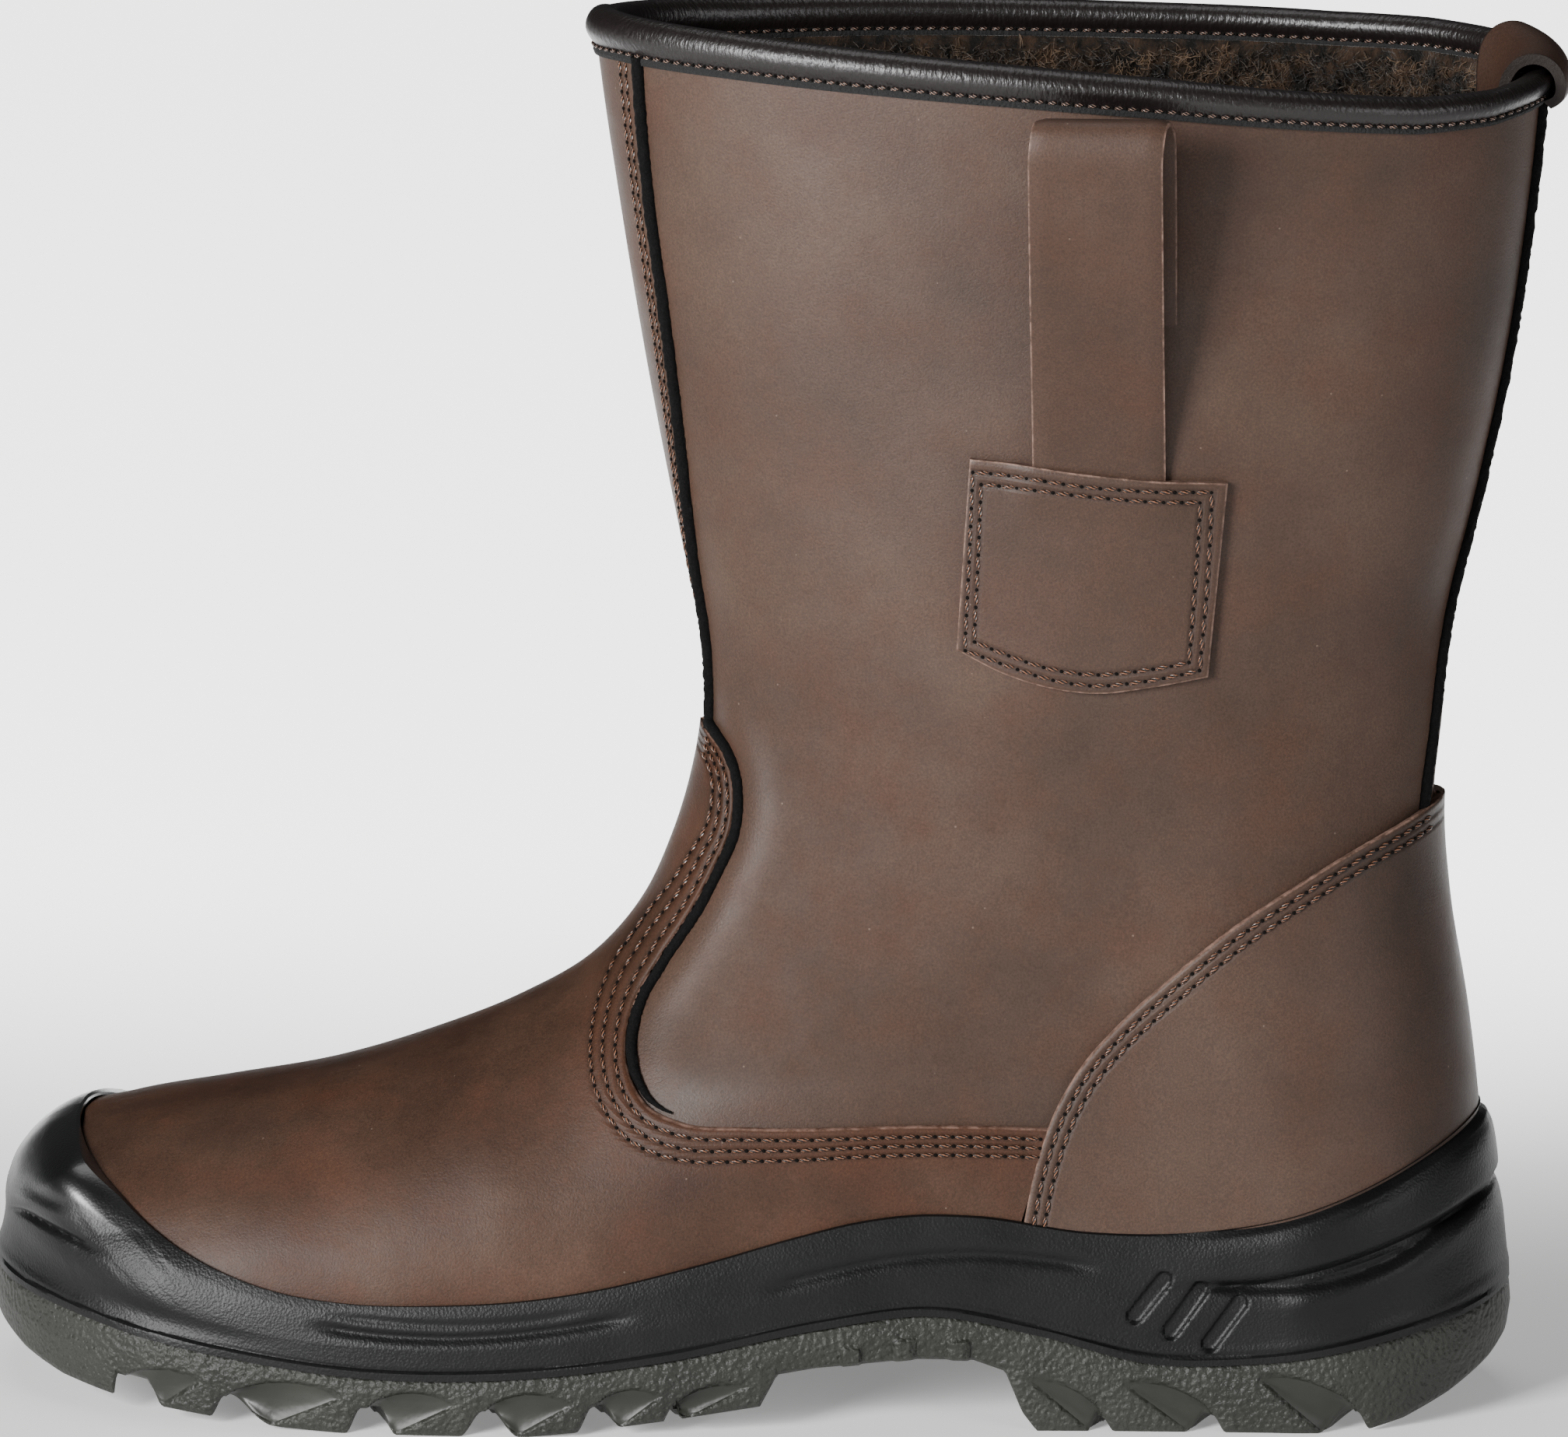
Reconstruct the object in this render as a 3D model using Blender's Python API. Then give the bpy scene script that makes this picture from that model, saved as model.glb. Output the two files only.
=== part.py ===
"""Tall pull-on safety boot for the left foot, as separate sewn and moulded pieces.

Lengths are in millimetres, x from the toe tip to the heel, y from the outer (lateral)
side to the inner (medial) side, z up from the floor. Meshes are made in metres.
"""
import math

import bpy
import numpy as np

for old in list(bpy.data.objects):
    bpy.data.objects.remove(old, do_unlink=True)

MM = 0.001
SOLE_LENGTH = 312.0
BALL_WIDTH = 97.0
INSTEP_X = 124.0
INSTEP_HEIGHT = 87.0
HEEL_SEAT = 29.0
COLLAR_FRONT = 281.0
COLLAR_BACK = 275.0
ORIGIN_X = 159.9
ORIGIN_Y = 0.0

WALL = 3.0
GAP = 0.3
VAMP_THICK = 1.7
COUNTER_THICK = 2.2
PIPING_WIDE = 2.2
PIPING_HIGH = 1.3
PATCH_THICK = 1.9
STRAP_WIDE = 27.5
STRAP_THICK = 1.8
LOOP_WIDE = 21.0
LOOP_THICK = 1.9
INSOLE_THICK = 5.0
TOE_BIAS = 6.0
LATERAL = -1.0
MEDIAL = 1.0
COLUMNS = 20

# Front of the leather from the floor round the toe and up the shaft:
# x, z, depth over which the edge rounds, squareness of that rounding
DORSAL = [
    (4.0, -4.0, 40.0, 2.0),
    (4.0, 20.0, 40.0, 2.0),
    (5.0, 33.0, 38.0, 2.05),
    (8.2, 43.0, 35.0, 2.1),
    (15.2, 49.8, 33.0, 2.15),
    (26.0, 53.0, 33.0, 2.2),
    (46.0, 57.2, 36.0, 2.2),
    (68.0, 62.0, 42.0, 2.15),
    (90.0, 69.4, 48.0, 2.1),
    (108.0, 77.1, 54.0, 2.05),
    (INSTEP_X, INSTEP_HEIGHT, 60.0, 2.0),
    (135.0, 100.0, 64.0, 2.0),
    (141.0, 113.0, 68.0, 2.0),
    (145.0, 126.0, 72.0, 2.0),
    (147.3, 140.0, 76.0, 2.0),
    (146.6, 152.0, 80.0, 2.0),
    (141.8, 175.0, 86.0, 2.0),
    (134.9, 211.0, 94.0, 2.0),
    (129.0, 247.0, 100.0, 2.0),
    (124.9, 276.0, 102.0, 2.0),
    (123.0, 295.0, 102.0, 2.0),
]

# Back of the leather from the floor up: x, z, rounding depth, squareness
BACK = [
    (304.6, -4.0, 38.0, 2.0),
    (304.6, 30.0, 38.0, 2.0),
    (303.4, 55.0, 40.0, 2.0),
    (300.6, 80.0, 44.0, 2.0),
    (296.6, 104.0, 50.0, 2.0),
    (295.2, 122.0, 56.0, 2.0),
    (296.8, 141.0, 62.0, 2.0),
    (299.0, 165.0, 68.0, 2.0),
    (304.2, 190.0, 72.0, 2.0),
    (310.0, 220.0, 74.0, 2.0),
    (313.9, 250.0, 74.0, 2.0),
    (316.2, 275.0, 74.0, 2.0),
    (317.4, 295.0, 74.0, 2.0),
]

# Half widths of the foot: share of the sole length, then shares of the ball width
FOOT = [
    (0.00, 0.45, 0.43),
    (0.13, 0.485, 0.475),
    (0.27, 0.505, 0.490),
    (0.36, 0.503, 0.465),
    (0.45, 0.480, 0.415),
    (0.56, 0.432, 0.360),
    (0.68, 0.382, 0.330),
    (0.79, 0.365, 0.342),
    (0.90, 0.358, 0.348),
    (1.00, 0.352, 0.342),
]

# Half width of the shaft by height, the same on both sides
SHAFT = [(70.0, 36.0), (110.0, 36.0), (150.0, 38.0), (200.0, 42.0), (245.0, 44.5), (300.0, 45.5)]

# Height of the lasted lower edge of the upper along the foot
FEATHER = [
    (0.0, 27.5), (20.0, 24.6), (42.0, 20.6), (64.0, 17.6), (88.0, 16.2), (112.0, 17.0), (141.0, 20.8),
    (172.0, 26.4), (195.0, 28.6), (235.0, HEEL_SEAT), (SOLE_LENGTH, HEEL_SEAT + 0.5),
]

# Line between midsole and outsole along the side
PARTING = [
    (0.0, 23.0), (20.0, 20.4), (48.0, 15.6), (80.0, 12.0), (105.0, 12.0), (141.0, 15.8), (172.0, 22.0),
    (195.0, 24.6), (217.0, 20.4), (240.0, 14.6), (262.0, 14.8), (291.0, 19.6), (SOLE_LENGTH, 24.0),
]

# Upper edge of the midsole and scuff cap along the side
CUP_EDGE = [
    (21.0, 55.0), (22.4, 52.2), (25.4, 49.0), (30.0, 45.6), (35.0, 42.2), (43.0, 37.4), (53.5, 31.6),
    (64.0, 28.4), (76.0, 26.9), (96.0, 26.8), (112.0, 27.8), (127.0, 30.0), (148.0, 35.0), (169.0, 40.8),
    (180.0, 43.4), (192.0, 44.8), (204.0, 44.4), (227.0, 41.0), (248.0, 40.9), (266.0, 43.6),
    (281.0, 48.4), (294.0, 54.0), (306.0, 60.0),
]

# Underside of the tread along the middle
TREAD = [
    (0.0, 12.4), (8.0, 8.8), (17.0, 6.2), (29.0, 4.4), (40.0, 3.2), (52.0, 1.8), (64.0, 0.6), (76.0, 0.0),
    (114.0, 0.0), (125.0, 1.0), (143.0, 3.4), (161.0, 6.0), (164.5, 12.6), (172.0, 13.8), (192.0, 15.4),
    (204.0, 15.0), (210.5, 12.6), (214.0, 4.0), (217.0, 0.0), (283.0, 0.0), (292.0, 2.2), (301.0, 6.0),
    (308.0, 9.8), (SOLE_LENGTH, 13.0),
]

# Side wall of the midsole: share of its height, how far it stands outside the leather
CUP_WALL = [
    (0.0, 5.4), (0.10, 5.6), (0.15, 4.7), (0.40, 4.9), (0.47, 4.0), (0.54, 4.6), (0.82, 3.9), (1.0, 3.2),
]
GROOVE_ROW = 4
HEEL_STEP = 1.1
CHEEK = 0.6
HEEL_FLARE = 1.8

# Side wall of the outsole from the parting line down, and how far it stands out
SOLE_WALL = [(0.0, 5.3), (0.45, 5.6), (1.0, 4.6)]

# Vamp edge from the instep peak round and back along the wing
VAMP_EDGE = [
    (145.4, 141.2), (148.5, 137.4), (151.4, 134.0), (153.4, 129.0), (153.2, 121.0), (149.5, 111.5),
    (145.0, 104.4), (137.4, 92.6), (134.2, 85.0), (133.8, 79.0), (135.0, 72.8), (139.0, 67.0),
    (145.7, 63.6), (158.0, 62.8), (195.0, 63.1), (219.0, 62.4),
]

# Edge of the heel counter from the back seam down to the midsole
COUNTER_EDGE = [
    (297.0, 125.4), (290.0, 122.8), (281.0, 119.0), (268.0, 112.0), (255.5, 104.0), (243.0, 93.6),
    (233.0, 84.2), (225.0, 74.8), (219.6, 64.8), (216.4, 55.0), (213.4, 40.0),
]

# Seams seen from the front and from the back: height, shift to the outer side
FRONT_SEAM = [(275.5, -16.5), (240.0, -12.5), (205.0, -8.5), (172.0, -5.0), (146.0, -1.5)]
BACK_SEAM = [(266.5, -1.0), (230.0, -1.0), (190.0, -2.5), (155.0, -7.0), (127.0, -9.0)]

# Patch that holds the pull strap, seen from the side
PATCH = [
    (202.6, 199.6), (254.2, 195.8), (250.2, 155.6), (238.0, 153.4), (225.0, 153.0), (211.0, 156.0),
    (199.4, 160.6),
]

# Pull strap: distance from the shaft, height, from the patch over the fold to the free end
STRAP_X = 228.2
STRAP_RUN = [
    (0.2, 199.2), (0.6, 212.0), (2.2, 222.0), (4.2, 231.0), (6.4, 241.0), (9.2, 253.0), (12.4, 263.0),
    (14.2, 268.4), (13.0, 272.2), (9.2, 273.4), (5.2, 270.6), (2.8, 262.0), (1.4, 248.0), (0.7, 231.5),
]

# Collar binding: height over the leather edge, how far outside the leather
BINDING = [
    (-9.0, 0.3), (-9.0, 0.9), (-7.0, 1.0), (-3.4, 1.7), (0.6, 1.2), (3.0, -0.6), (3.0, -2.6),
    (0.6, -4.6), (-3.4, -5.1), (-7.0, -4.2), (-8.0, -3.3), (0.3, -3.3), (0.3, 0.3),
]

# Rear loop at the middle of the back: distance outside the leather, height over its edge
LOOP_RUN = [
    (-9.8, -24.0), (-10.4, -14.0), (-10.6, -7.0), (-10.2, -1.0), (-8.0, 4.6), (-3.6, 8.0), (1.2, 7.4),
    (4.0, 3.2), (4.4, -3.0), (3.0, -10.2), (1.7, -13.6),
]

# Main grooves of the tread: place at the edge, place further in, width, depth
GROOVES = [
    (29.0, 35.0, 5.0, 3.4), (51.0, 57.0, 5.6, 4.6), (80.6, 85.0, 6.0, 5.3), (104.2, 108.0, 6.0, 5.3),
    (125.6, 129.0, 6.0, 4.8), (142.4, 145.0, 4.4, 3.4), (230.8, 224.0, 4.6, 3.2), (254.4, 247.0, 5.6, 3.8),
    (284.4, 276.0, 7.0, 4.4),
]
GROOVE_EDGE = 50.0
GROOVE_END = 16.0

# Short upright ribs under the waist: place along the foot, lower end
RIBS = [(179.4, 11.8), (190.2, 13.2), (201.2, 13.0)]
RIB_WIDE = 4.0
RIB_HIGH = 7.0
RIB_PROUD = 1.0

# Slanted slots in the midsole at the heel quarter: middle x and z
SLOTS = [(238.0, 27.4), (246.0, 25.2), (254.4, 23.2)]
SLOT_LONG = 11.0
SLOT_WIDE = 3.6
SLOT_DEEP = 1.6
SLOT_SLOPE = math.radians(53.0)


def ease(t):
    """Smooth step from 0 to 1."""
    t = np.clip(t, 0.0, 1.0)
    return t * t * (3.0 - 2.0 * t)


def smooth(rows, count):
    """Even points on a smooth curve through the rows, all columns carried along."""
    rows = np.array(rows, float)
    run = np.concatenate([[0.0], np.cumsum(np.linalg.norm(np.diff(rows[:, :2], axis=0), axis=1))])
    slope = np.gradient(rows, run, axis=0)
    at = np.linspace(0.0, run[-1], count)
    k = np.clip(np.searchsorted(run, at, side="right") - 1, 0, len(run) - 2)
    step = (run[k + 1] - run[k])[:, None]
    t = (at - run[k])[:, None] / step
    start = (2 * t ** 3 - 3 * t ** 2 + 1) * rows[k] + (t ** 3 - 2 * t ** 2 + t) * step * slope[k]
    finish = (3 * t ** 2 - 2 * t ** 3) * rows[k + 1] + (t ** 3 - t ** 2) * step * slope[k + 1]
    return start + finish


DORSAL_LINE = smooth(DORSAL, 260)
BACK_LINE = smooth(BACK, 160)
FOOT_LINE = smooth([(a * SOLE_LENGTH, b * BALL_WIDTH, c * BALL_WIDTH) for a, b, c in FOOT], 120)
SHAFT_LINE = smooth(SHAFT, 60)
FEATHER_LINE = smooth(FEATHER, 80)
PARTING_LINE = smooth(PARTING, 160)
CUP_LINE = smooth(CUP_EDGE, 240)


def follow(line, x, column=1):
    """Value of a curve's column at x."""
    return np.interp(x, line[:, 0], line[:, column])


def nearest(line, inward, x, z):
    """Signed depth of side-view points inside a profile, and its rounding there."""
    start = line[:-1, :2]
    span = line[1:, :2] - start
    dx = x[:, None] - start[None, :, 0]
    dz = z[:, None] - start[None, :, 1]
    t = np.clip((dx * span[:, 0] + dz * span[:, 1]) / (span ** 2).sum(1), 0.0, 1.0)
    gap = np.hypot(dx - t * span[:, 0], dz - t * span[:, 1])
    k = gap.argmin(1)
    row = np.arange(len(x))
    cross = span[k, 0] * dz[row, k] - span[k, 1] * dx[row, k]
    part = t[row, k][:, None]
    rounding = line[k, 2:] * (1.0 - part) + line[k + 1, 2:] * part
    return gap[row, k] * np.sign(inward * cross), rounding


def lobe(share, power):
    """Quarter of a rounded outline, 0 at its tip and 1 from its full width on."""
    share = np.clip(share, 0.0, 1.0)
    return (1.0 - (1.0 - share) ** power) ** (1.0 / power)


def surface(x, z, side, grow):
    """Place across the boot of the leather's surface, grown outward by grow."""
    x = np.asarray(x, float)
    z = np.asarray(z, float)
    grow = np.broadcast_to(np.asarray(grow, float), x.shape)
    front, front_round = nearest(DORSAL_LINE, -1.0, x, z)
    back, back_round = nearest(BACK_LINE, 1.0, x, z)
    leg = ease((z - 72.0) / 80.0)
    foot = follow(FOOT_LINE, x, 1 if side < 0 else 2)
    wide = foot * (1.0 - leg) + follow(SHAFT_LINE, z) * leg
    shape = lobe((front + grow) / (front_round[:, 0] + grow), front_round[:, 1])
    shape = shape * lobe((back + grow) / (back_round[:, 0] + grow), back_round[:, 1])
    middle = TOE_BIAS * (1.0 - ease(x / 95.0)) * (1.0 - leg)
    return middle + side * (wide + grow) * shape


def profile_point(line, place, outward, grow):
    """Point of a profile at a running index, moved outward by grow."""
    index = np.arange(len(line))
    point = np.array([np.interp(place, index, line[:, 0]), np.interp(place, index, line[:, 1])])
    ahead = np.array([np.interp(place + 1.0, index, line[:, 0]), np.interp(place + 1.0, index, line[:, 1])])
    along = (ahead - point) / np.linalg.norm(ahead - point)
    return point + outward * grow * np.array([-along[1], along[0]])


def place_at(line, height):
    """Running index of a profile at a height."""
    return np.interp(height, line[:, 1], np.arange(len(line)))


TOE_LOW = place_at(DORSAL_LINE, FEATHER[0][1])
HEEL_LOW = place_at(BACK_LINE, FEATHER[-1][1])
TOE_TOP = place_at(DORSAL_LINE, COLLAR_FRONT)
HEEL_TOP = place_at(BACK_LINE, COLLAR_BACK)
SPREAD = 0.5 - 0.5 * np.cos(np.linspace(0.0, math.pi, COLUMNS + 1))


def loop(x, z, grow):
    """Closed ring of points: outer side from heel to toe, then inner side back."""
    outer = np.stack([x, surface(x, z, LATERAL, grow), z], 1)
    inner = np.stack([x, surface(x, z, MEDIAL, grow), z], 1)
    return np.concatenate([outer, inner[-2:0:-1]])


def level(share, grow, drop=0.0):
    """Ring of the upper between its lasted edge (0) and the collar (1)."""
    back = profile_point(BACK_LINE, HEEL_LOW + share * (HEEL_TOP - HEEL_LOW), -1.0, grow)
    front = profile_point(DORSAL_LINE, TOE_LOW + share * (TOE_TOP - TOE_LOW), 1.0, grow)
    x = back[0] + SPREAD * (front[0] - back[0])
    z = back[1] + SPREAD * (front[1] - back[1])
    low_back = profile_point(BACK_LINE, HEEL_LOW, -1.0, 0.0)
    low_front = profile_point(DORSAL_LINE, TOE_LOW, 1.0, 0.0)
    chord = np.interp(x, [low_front[0], low_back[0]], [low_front[1], low_back[1]])
    bow = np.where((x > low_front[0]) & (x < low_back[0]), follow(FEATHER_LINE, x) - chord, 0.0)
    z = z + (1.0 - ease(share / 0.3)) * bow + drop
    return loop(x, z, grow)


COLLAR_RUN = 345.0
UNDER_BINDING = 1.0 - 9.0 / COLLAR_RUN
SHARES = np.concatenate([np.linspace(0.0, 0.18, 6)[:-1], np.linspace(0.18, 0.56, 9)[:-1],
                         np.linspace(0.56, UNDER_BINDING, 5), [1.0]])


def material(name, colour, rough):
    """Principled surface of one colour."""
    made = bpy.data.materials.new(name)
    made.use_nodes = True
    shader = made.node_tree.nodes["Principled BSDF"]
    shader.inputs["Base Color"].default_value = (*colour, 1.0)
    shader.inputs["Roughness"].default_value = rough
    shader.inputs["Metallic"].default_value = 0.0
    return made


def solid(name, points, faces, look=None):
    """Mesh object in metres about the boot's standing point, faces outward."""
    shift = np.array([ORIGIN_X, ORIGIN_Y, 0.0])
    points = np.array(points)
    fans = [(f[0], f[i], f[i + 1]) for f in faces for i in range(1, len(f) - 1)]
    a, b, c = (points[[f[k] for f in fans]] for k in range(3))
    if (a * np.cross(b, c)).sum() < 0.0:
        faces = [f[::-1] for f in faces]
    mesh = bpy.data.meshes.new(name)
    mesh.from_pydata(((points - shift) * MM).tolist(), [], faces)
    mesh.validate()
    made = bpy.data.objects.new(name, mesh)
    bpy.context.scene.collection.objects.link(made)
    if look:
        mesh.materials.append(look)
    return made


def loft(name, rings, look=None, hollow=False):
    """Solid through rings; a hollow one closes on itself, a full one gets flat strips as ends."""
    count = len(rings[0])
    half = count // 2
    points = np.concatenate(rings)
    faces = []
    last = len(rings) if hollow else len(rings) - 1
    for r in range(last):
        low = r * count
        high = ((r + 1) % len(rings)) * count
        rises = rings[(r + 1) % len(rings)][:, 2].mean() >= rings[r][:, 2].mean()
        for c in range(count):
            n = (c + 1) % count
            if rises:
                faces += [(low + c, low + n, high + n), (low + c, high + n, high + c)]
            else:
                faces += [(low + c, low + n, high + c), (low + n, high + n, high + c)]
    if not hollow:
        top = (len(rings) - 1) * count
        for c in range(half):
            a, b = c, c + 1
            d, e = (count - c) % count, count - c - 1
            strip = [a, d, e, b]
            strip = [v for i, v in enumerate(strip) if v not in strip[:i]]
            faces.append(tuple(strip))
            faces.append(tuple(top + v for v in reversed(strip)))
    return solid(name, points, faces, look)


def prism(name, outline, low, high, axis="y"):
    """Cutter from a side-view (x, z) outline, or from a front-view (y, z) one along x."""
    count = len(outline)
    if axis == "y":
        points = [(a, end, b) for end in (low, high) for a, b in outline]
    else:
        points = [(end, a, b) for end in (low, high) for a, b in outline]
    faces = [tuple(range(count)), tuple(range(2 * count - 1, count - 1, -1))]
    for c in range(count):
        n = (c + 1) % count
        faces.append((n, c, count + c, count + n))
    return cutter(solid(name, points, faces))


def cutter(piece):
    """Mark a shape that only cuts."""
    piece.hide_render = True
    piece.display_type = "WIRE"
    return piece


def cut(piece, tool, operation):
    """Boolean of a piece with a cutter."""
    change = piece.modifiers.new(tool.name, "BOOLEAN")
    change.operation = operation
    change.solver = "EXACT"
    change.object = tool


def skin(name, low, high, inside, outside, look):
    """Closed sleeve between two grown forms of the upper, from one level to another."""
    shares = [s for s in SHARES if low <= s <= high]
    rings = [level(s, outside) for s in shares] + [level(s, inside) for s in reversed(shares)]
    return loft(name, rings, look, hollow=True)


def stripe(run, wide):
    """Narrow outline round a line."""
    run = np.array(run, float)
    along = np.gradient(run, axis=0)
    along = along / np.linalg.norm(along, axis=1)[:, None]
    side = np.stack([-along[:, 1], along[:, 0]], 1) * wide / 2.0
    return [tuple(p) for p in np.concatenate([run + side, (run - side)[::-1]])]


def beside(run, away):
    """Line moved sideways, to the left of its direction."""
    run = np.array(run, float)
    along = np.gradient(run, axis=0)
    along = along / np.linalg.norm(along, axis=1)[:, None]
    return run + np.stack([-along[:, 1], along[:, 0]], 1) * away


def ribbon(name, run, across, thick, look):
    """Strip swept along points with its width vector and thickness direction at each."""
    run = np.array(run, float)
    across = np.array(across, float)
    along = np.gradient(run, axis=0)
    normal = np.cross(along, across)
    normal = normal / np.linalg.norm(normal, axis=1)[:, None] * thick / 2.0
    rings = [run + across + normal, run - across + normal, run - across - normal, run + across - normal]
    count = len(run)
    points = np.concatenate(rings)
    faces = [(0, count, 2 * count, 3 * count), tuple(k * count + count - 1 for k in (3, 2, 1, 0))]
    for k in range(4):
        n = (k + 1) % 4
        for i in range(count - 1):
            faces.append((k * count + i, k * count + i + 1, n * count + i + 1, n * count + i))
    return solid(name, points, faces, look)


brown = material("oiled leather", (0.105, 0.042, 0.019), 0.5)
brown_edge = material("strap leather", (0.085, 0.032, 0.015), 0.5)
black_leather = material("binding leather", (0.012, 0.011, 0.011), 0.4)
black_cord = material("piping cord", (0.010, 0.010, 0.010), 0.9)
black_foam = material("moulded polyurethane", (0.014, 0.014, 0.015), 0.5)
grey_rubber = material("moulded rubber", (0.035, 0.036, 0.032), 0.7)
felt = material("felt footbed", (0.05, 0.03, 0.02), 0.95)

# Upper: one hollow shell, open at the collar and underneath
upper_rings = [level(s, 0.0) for s in SHARES] + [level(s, -WALL) for s in reversed(SHARES)]
upper = loft("upper", upper_rings, brown, True)

# Insole lies on the midsole inside the upper
insole_rings = [level(0.0, -WALL - 1.2, 0.0), level(0.0, -WALL - 1.2, INSOLE_THICK - 1.2),
                level(0.0, -WALL - 2.6, INSOLE_THICK)]
insole = loft("insole", insole_rings, felt)

# Stations along the sole, closer at toe and heel and at the steps of the tread
EVEN = 0.5 - 0.5 * np.cos(np.linspace(0.0, math.pi, 27))
STEPS = [x / SOLE_LENGTH for x in (161.0, 164.5, 210.5, 214.0, 217.0)]
STATIONS = np.array(sorted([e for e in EVEN if min(abs(e - s) for s in STEPS) > 0.012] + STEPS))[::-1]


def sole_ring(share, grow, lower, upper_line, drop=0.0):
    """Ring of the midsole wall between its lower line and its upper edge."""
    low_x = STATIONS * SOLE_LENGTH
    low = np.stack([low_x, follow(lower, low_x) + drop], 1)
    high_x = upper_line[0, 0] + STATIONS * (upper_line[-1, 0] - upper_line[0, 0])
    high = np.stack([high_x, follow(upper_line, high_x)], 1)
    flat = low * (1.0 - share) + high * share
    ends = []
    for line, outward, place in ((DORSAL_LINE, 1.0, -1), (BACK_LINE, -1.0, 0)):
        first = place_at(line, low[place, 1])
        final = place_at(line, high[place, 1] - (3.0 if place else 0.0))
        g = grow[place]
        ends.append(profile_point(line, first + share * (final - first), outward, g) - flat[place])
    near_toe = (1.0 - STATIONS)[:, None] ** 6
    near_heel = STATIONS[:, None] ** 6
    spot = flat + near_toe * ends[0] + near_heel * ends[1]
    return loop(spot[:, 0], spot[:, 1], grow)


def cup_grow(row):
    """How far the midsole stands out at each station of one row."""
    share, grow = CUP_WALL[row]
    x = STATIONS * SOLE_LENGTH
    heel = ease((x - 236.0) / 30.0)
    toe = 1.0 - ease((x - 6.0) / 40.0)
    grow = np.full(len(x), grow)
    if row == GROOVE_ROW:
        grow = grow - HEEL_STEP * heel + toe
    if row == GROOVE_ROW - 1:
        grow = grow + 0.5 * HEEL_STEP * heel
    cheek = CHEEK * toe * np.sin(math.pi * share)
    flare = HEEL_FLARE * ease((x - 262.0) / 44.0) * (1.0 - share)
    return grow + cheek + flare


# Midsole: cup with scuff cap, hollowed by the lasted foot
midsole_rings = [
    sole_ring(CUP_WALL[r][0], cup_grow(r), PARTING_LINE, CUP_LINE) for r in range(len(CUP_WALL))
]
midsole = loft("midsole", midsole_rings, black_foam)
FORM_SHARES = [s for s in SHARES if s < 0.42]
form_rings = [level(0.0, GAP, -2.0 * GAP)] + [level(s, GAP) for s in FORM_SHARES[1:]]
form = cutter(loft("lasted_foot", form_rings))
cut(midsole, form, "DIFFERENCE")

for side, label in ((LATERAL, "lateral"), (MEDIAL, "medial")):
    for number, (x, z) in enumerate(SLOTS):
        along = np.array([math.cos(SLOT_SLOPE), math.sin(SLOT_SLOPE)]) * SLOT_LONG / 2.0
        over = np.array([-math.sin(SLOT_SLOPE), math.cos(SLOT_SLOPE)]) * SLOT_WIDE / 2.0
        mid = np.array([x, z])
        outline = [tuple(mid + along + over), tuple(mid - along + over), tuple(mid - along - over),
                   tuple(mid + along - over)]
        floor = float(surface(np.array([x]), np.array([z]), side, 4.8 - SLOT_DEEP)[0])
        ends = sorted((floor, side * 70.0))
        cut(midsole, prism(f"slot_{label}_{number}", outline, ends[0], ends[1]), "DIFFERENCE")

# Outsole: slab under the parting line with the tread's side profile
TREAD_TABLE = np.array(TREAD)


def tread_ring(share, grow):
    """Ring of the outsole between the parting line (0) and the tread (1)."""
    x = STATIONS * SOLE_LENGTH
    top = follow(PARTING_LINE, x) - GAP
    low = np.interp(x, TREAD_TABLE[:, 0], TREAD_TABLE[:, 1])
    z = top * (1.0 - share) + low * share
    grow = grow + HEEL_FLARE * ease((x - 262.0) / 44.0)
    spot = np.stack([x, z], 1)
    for line, outward, place in ((DORSAL_LINE, 1.0, -1), (BACK_LINE, -1.0, 0)):
        end = profile_point(line, place_at(line, z[place]), outward, grow[place])
        weight = ((1.0 - STATIONS) if place else STATIONS)[:, None] ** 6
        spot = spot + weight * (np.array([end[0], z[place]]) - spot[place])
    return loop(spot[:, 0], spot[:, 1], grow)


outsole = loft("outsole", [tread_ring(s, g) for s, g in reversed(SOLE_WALL)], grey_rubber)

for side, label in ((LATERAL, "lateral"), (MEDIAL, "medial")):
    for number, (edge, mid, wide, deep) in enumerate(GROOVES):
        top = float(np.interp(edge, TREAD_TABLE[:, 0], TREAD_TABLE[:, 1])) + deep
        lean = (edge - mid) / (GROOVE_EDGE - GROOVE_END)
        corner = [(edge + lean * 20.0, side * (GROOVE_EDGE + 20.0)), (mid, side * GROOVE_END)]
        half = wide / 2.0
        points = []
        for z, grow in ((-5.0, half + 1.2), (top, half - 0.6)):
            points += [(corner[0][0] - grow, corner[0][1], z), (corner[0][0] + grow, corner[0][1], z),
                       (corner[1][0] + grow, corner[1][1], z), (corner[1][0] - grow, corner[1][1], z)]
        faces = [(0, 3, 2, 1), (4, 5, 6, 7), (0, 1, 5, 4), (1, 2, 6, 5), (2, 3, 7, 6), (3, 0, 4, 7)]
        cut(outsole, cutter(solid(f"groove_{label}_{number}", points, faces)), "DIFFERENCE")
    for number, (x, low) in enumerate(RIBS):
        wall = float(surface(np.array([x]), np.array([low]), side, 5.4 + RIB_PROUD)[0])
        outline = [(x - RIB_WIDE / 2, low), (x + RIB_WIDE / 2, low), (x + RIB_WIDE / 2, low + RIB_HIGH),
                   (x - RIB_WIDE / 2, low + RIB_HIGH)]
        ends = sorted((wall, wall - side * 8.0))
        cut(outsole, prism(f"rib_{label}_{number}", outline, ends[0], ends[1]), "UNION")

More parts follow.
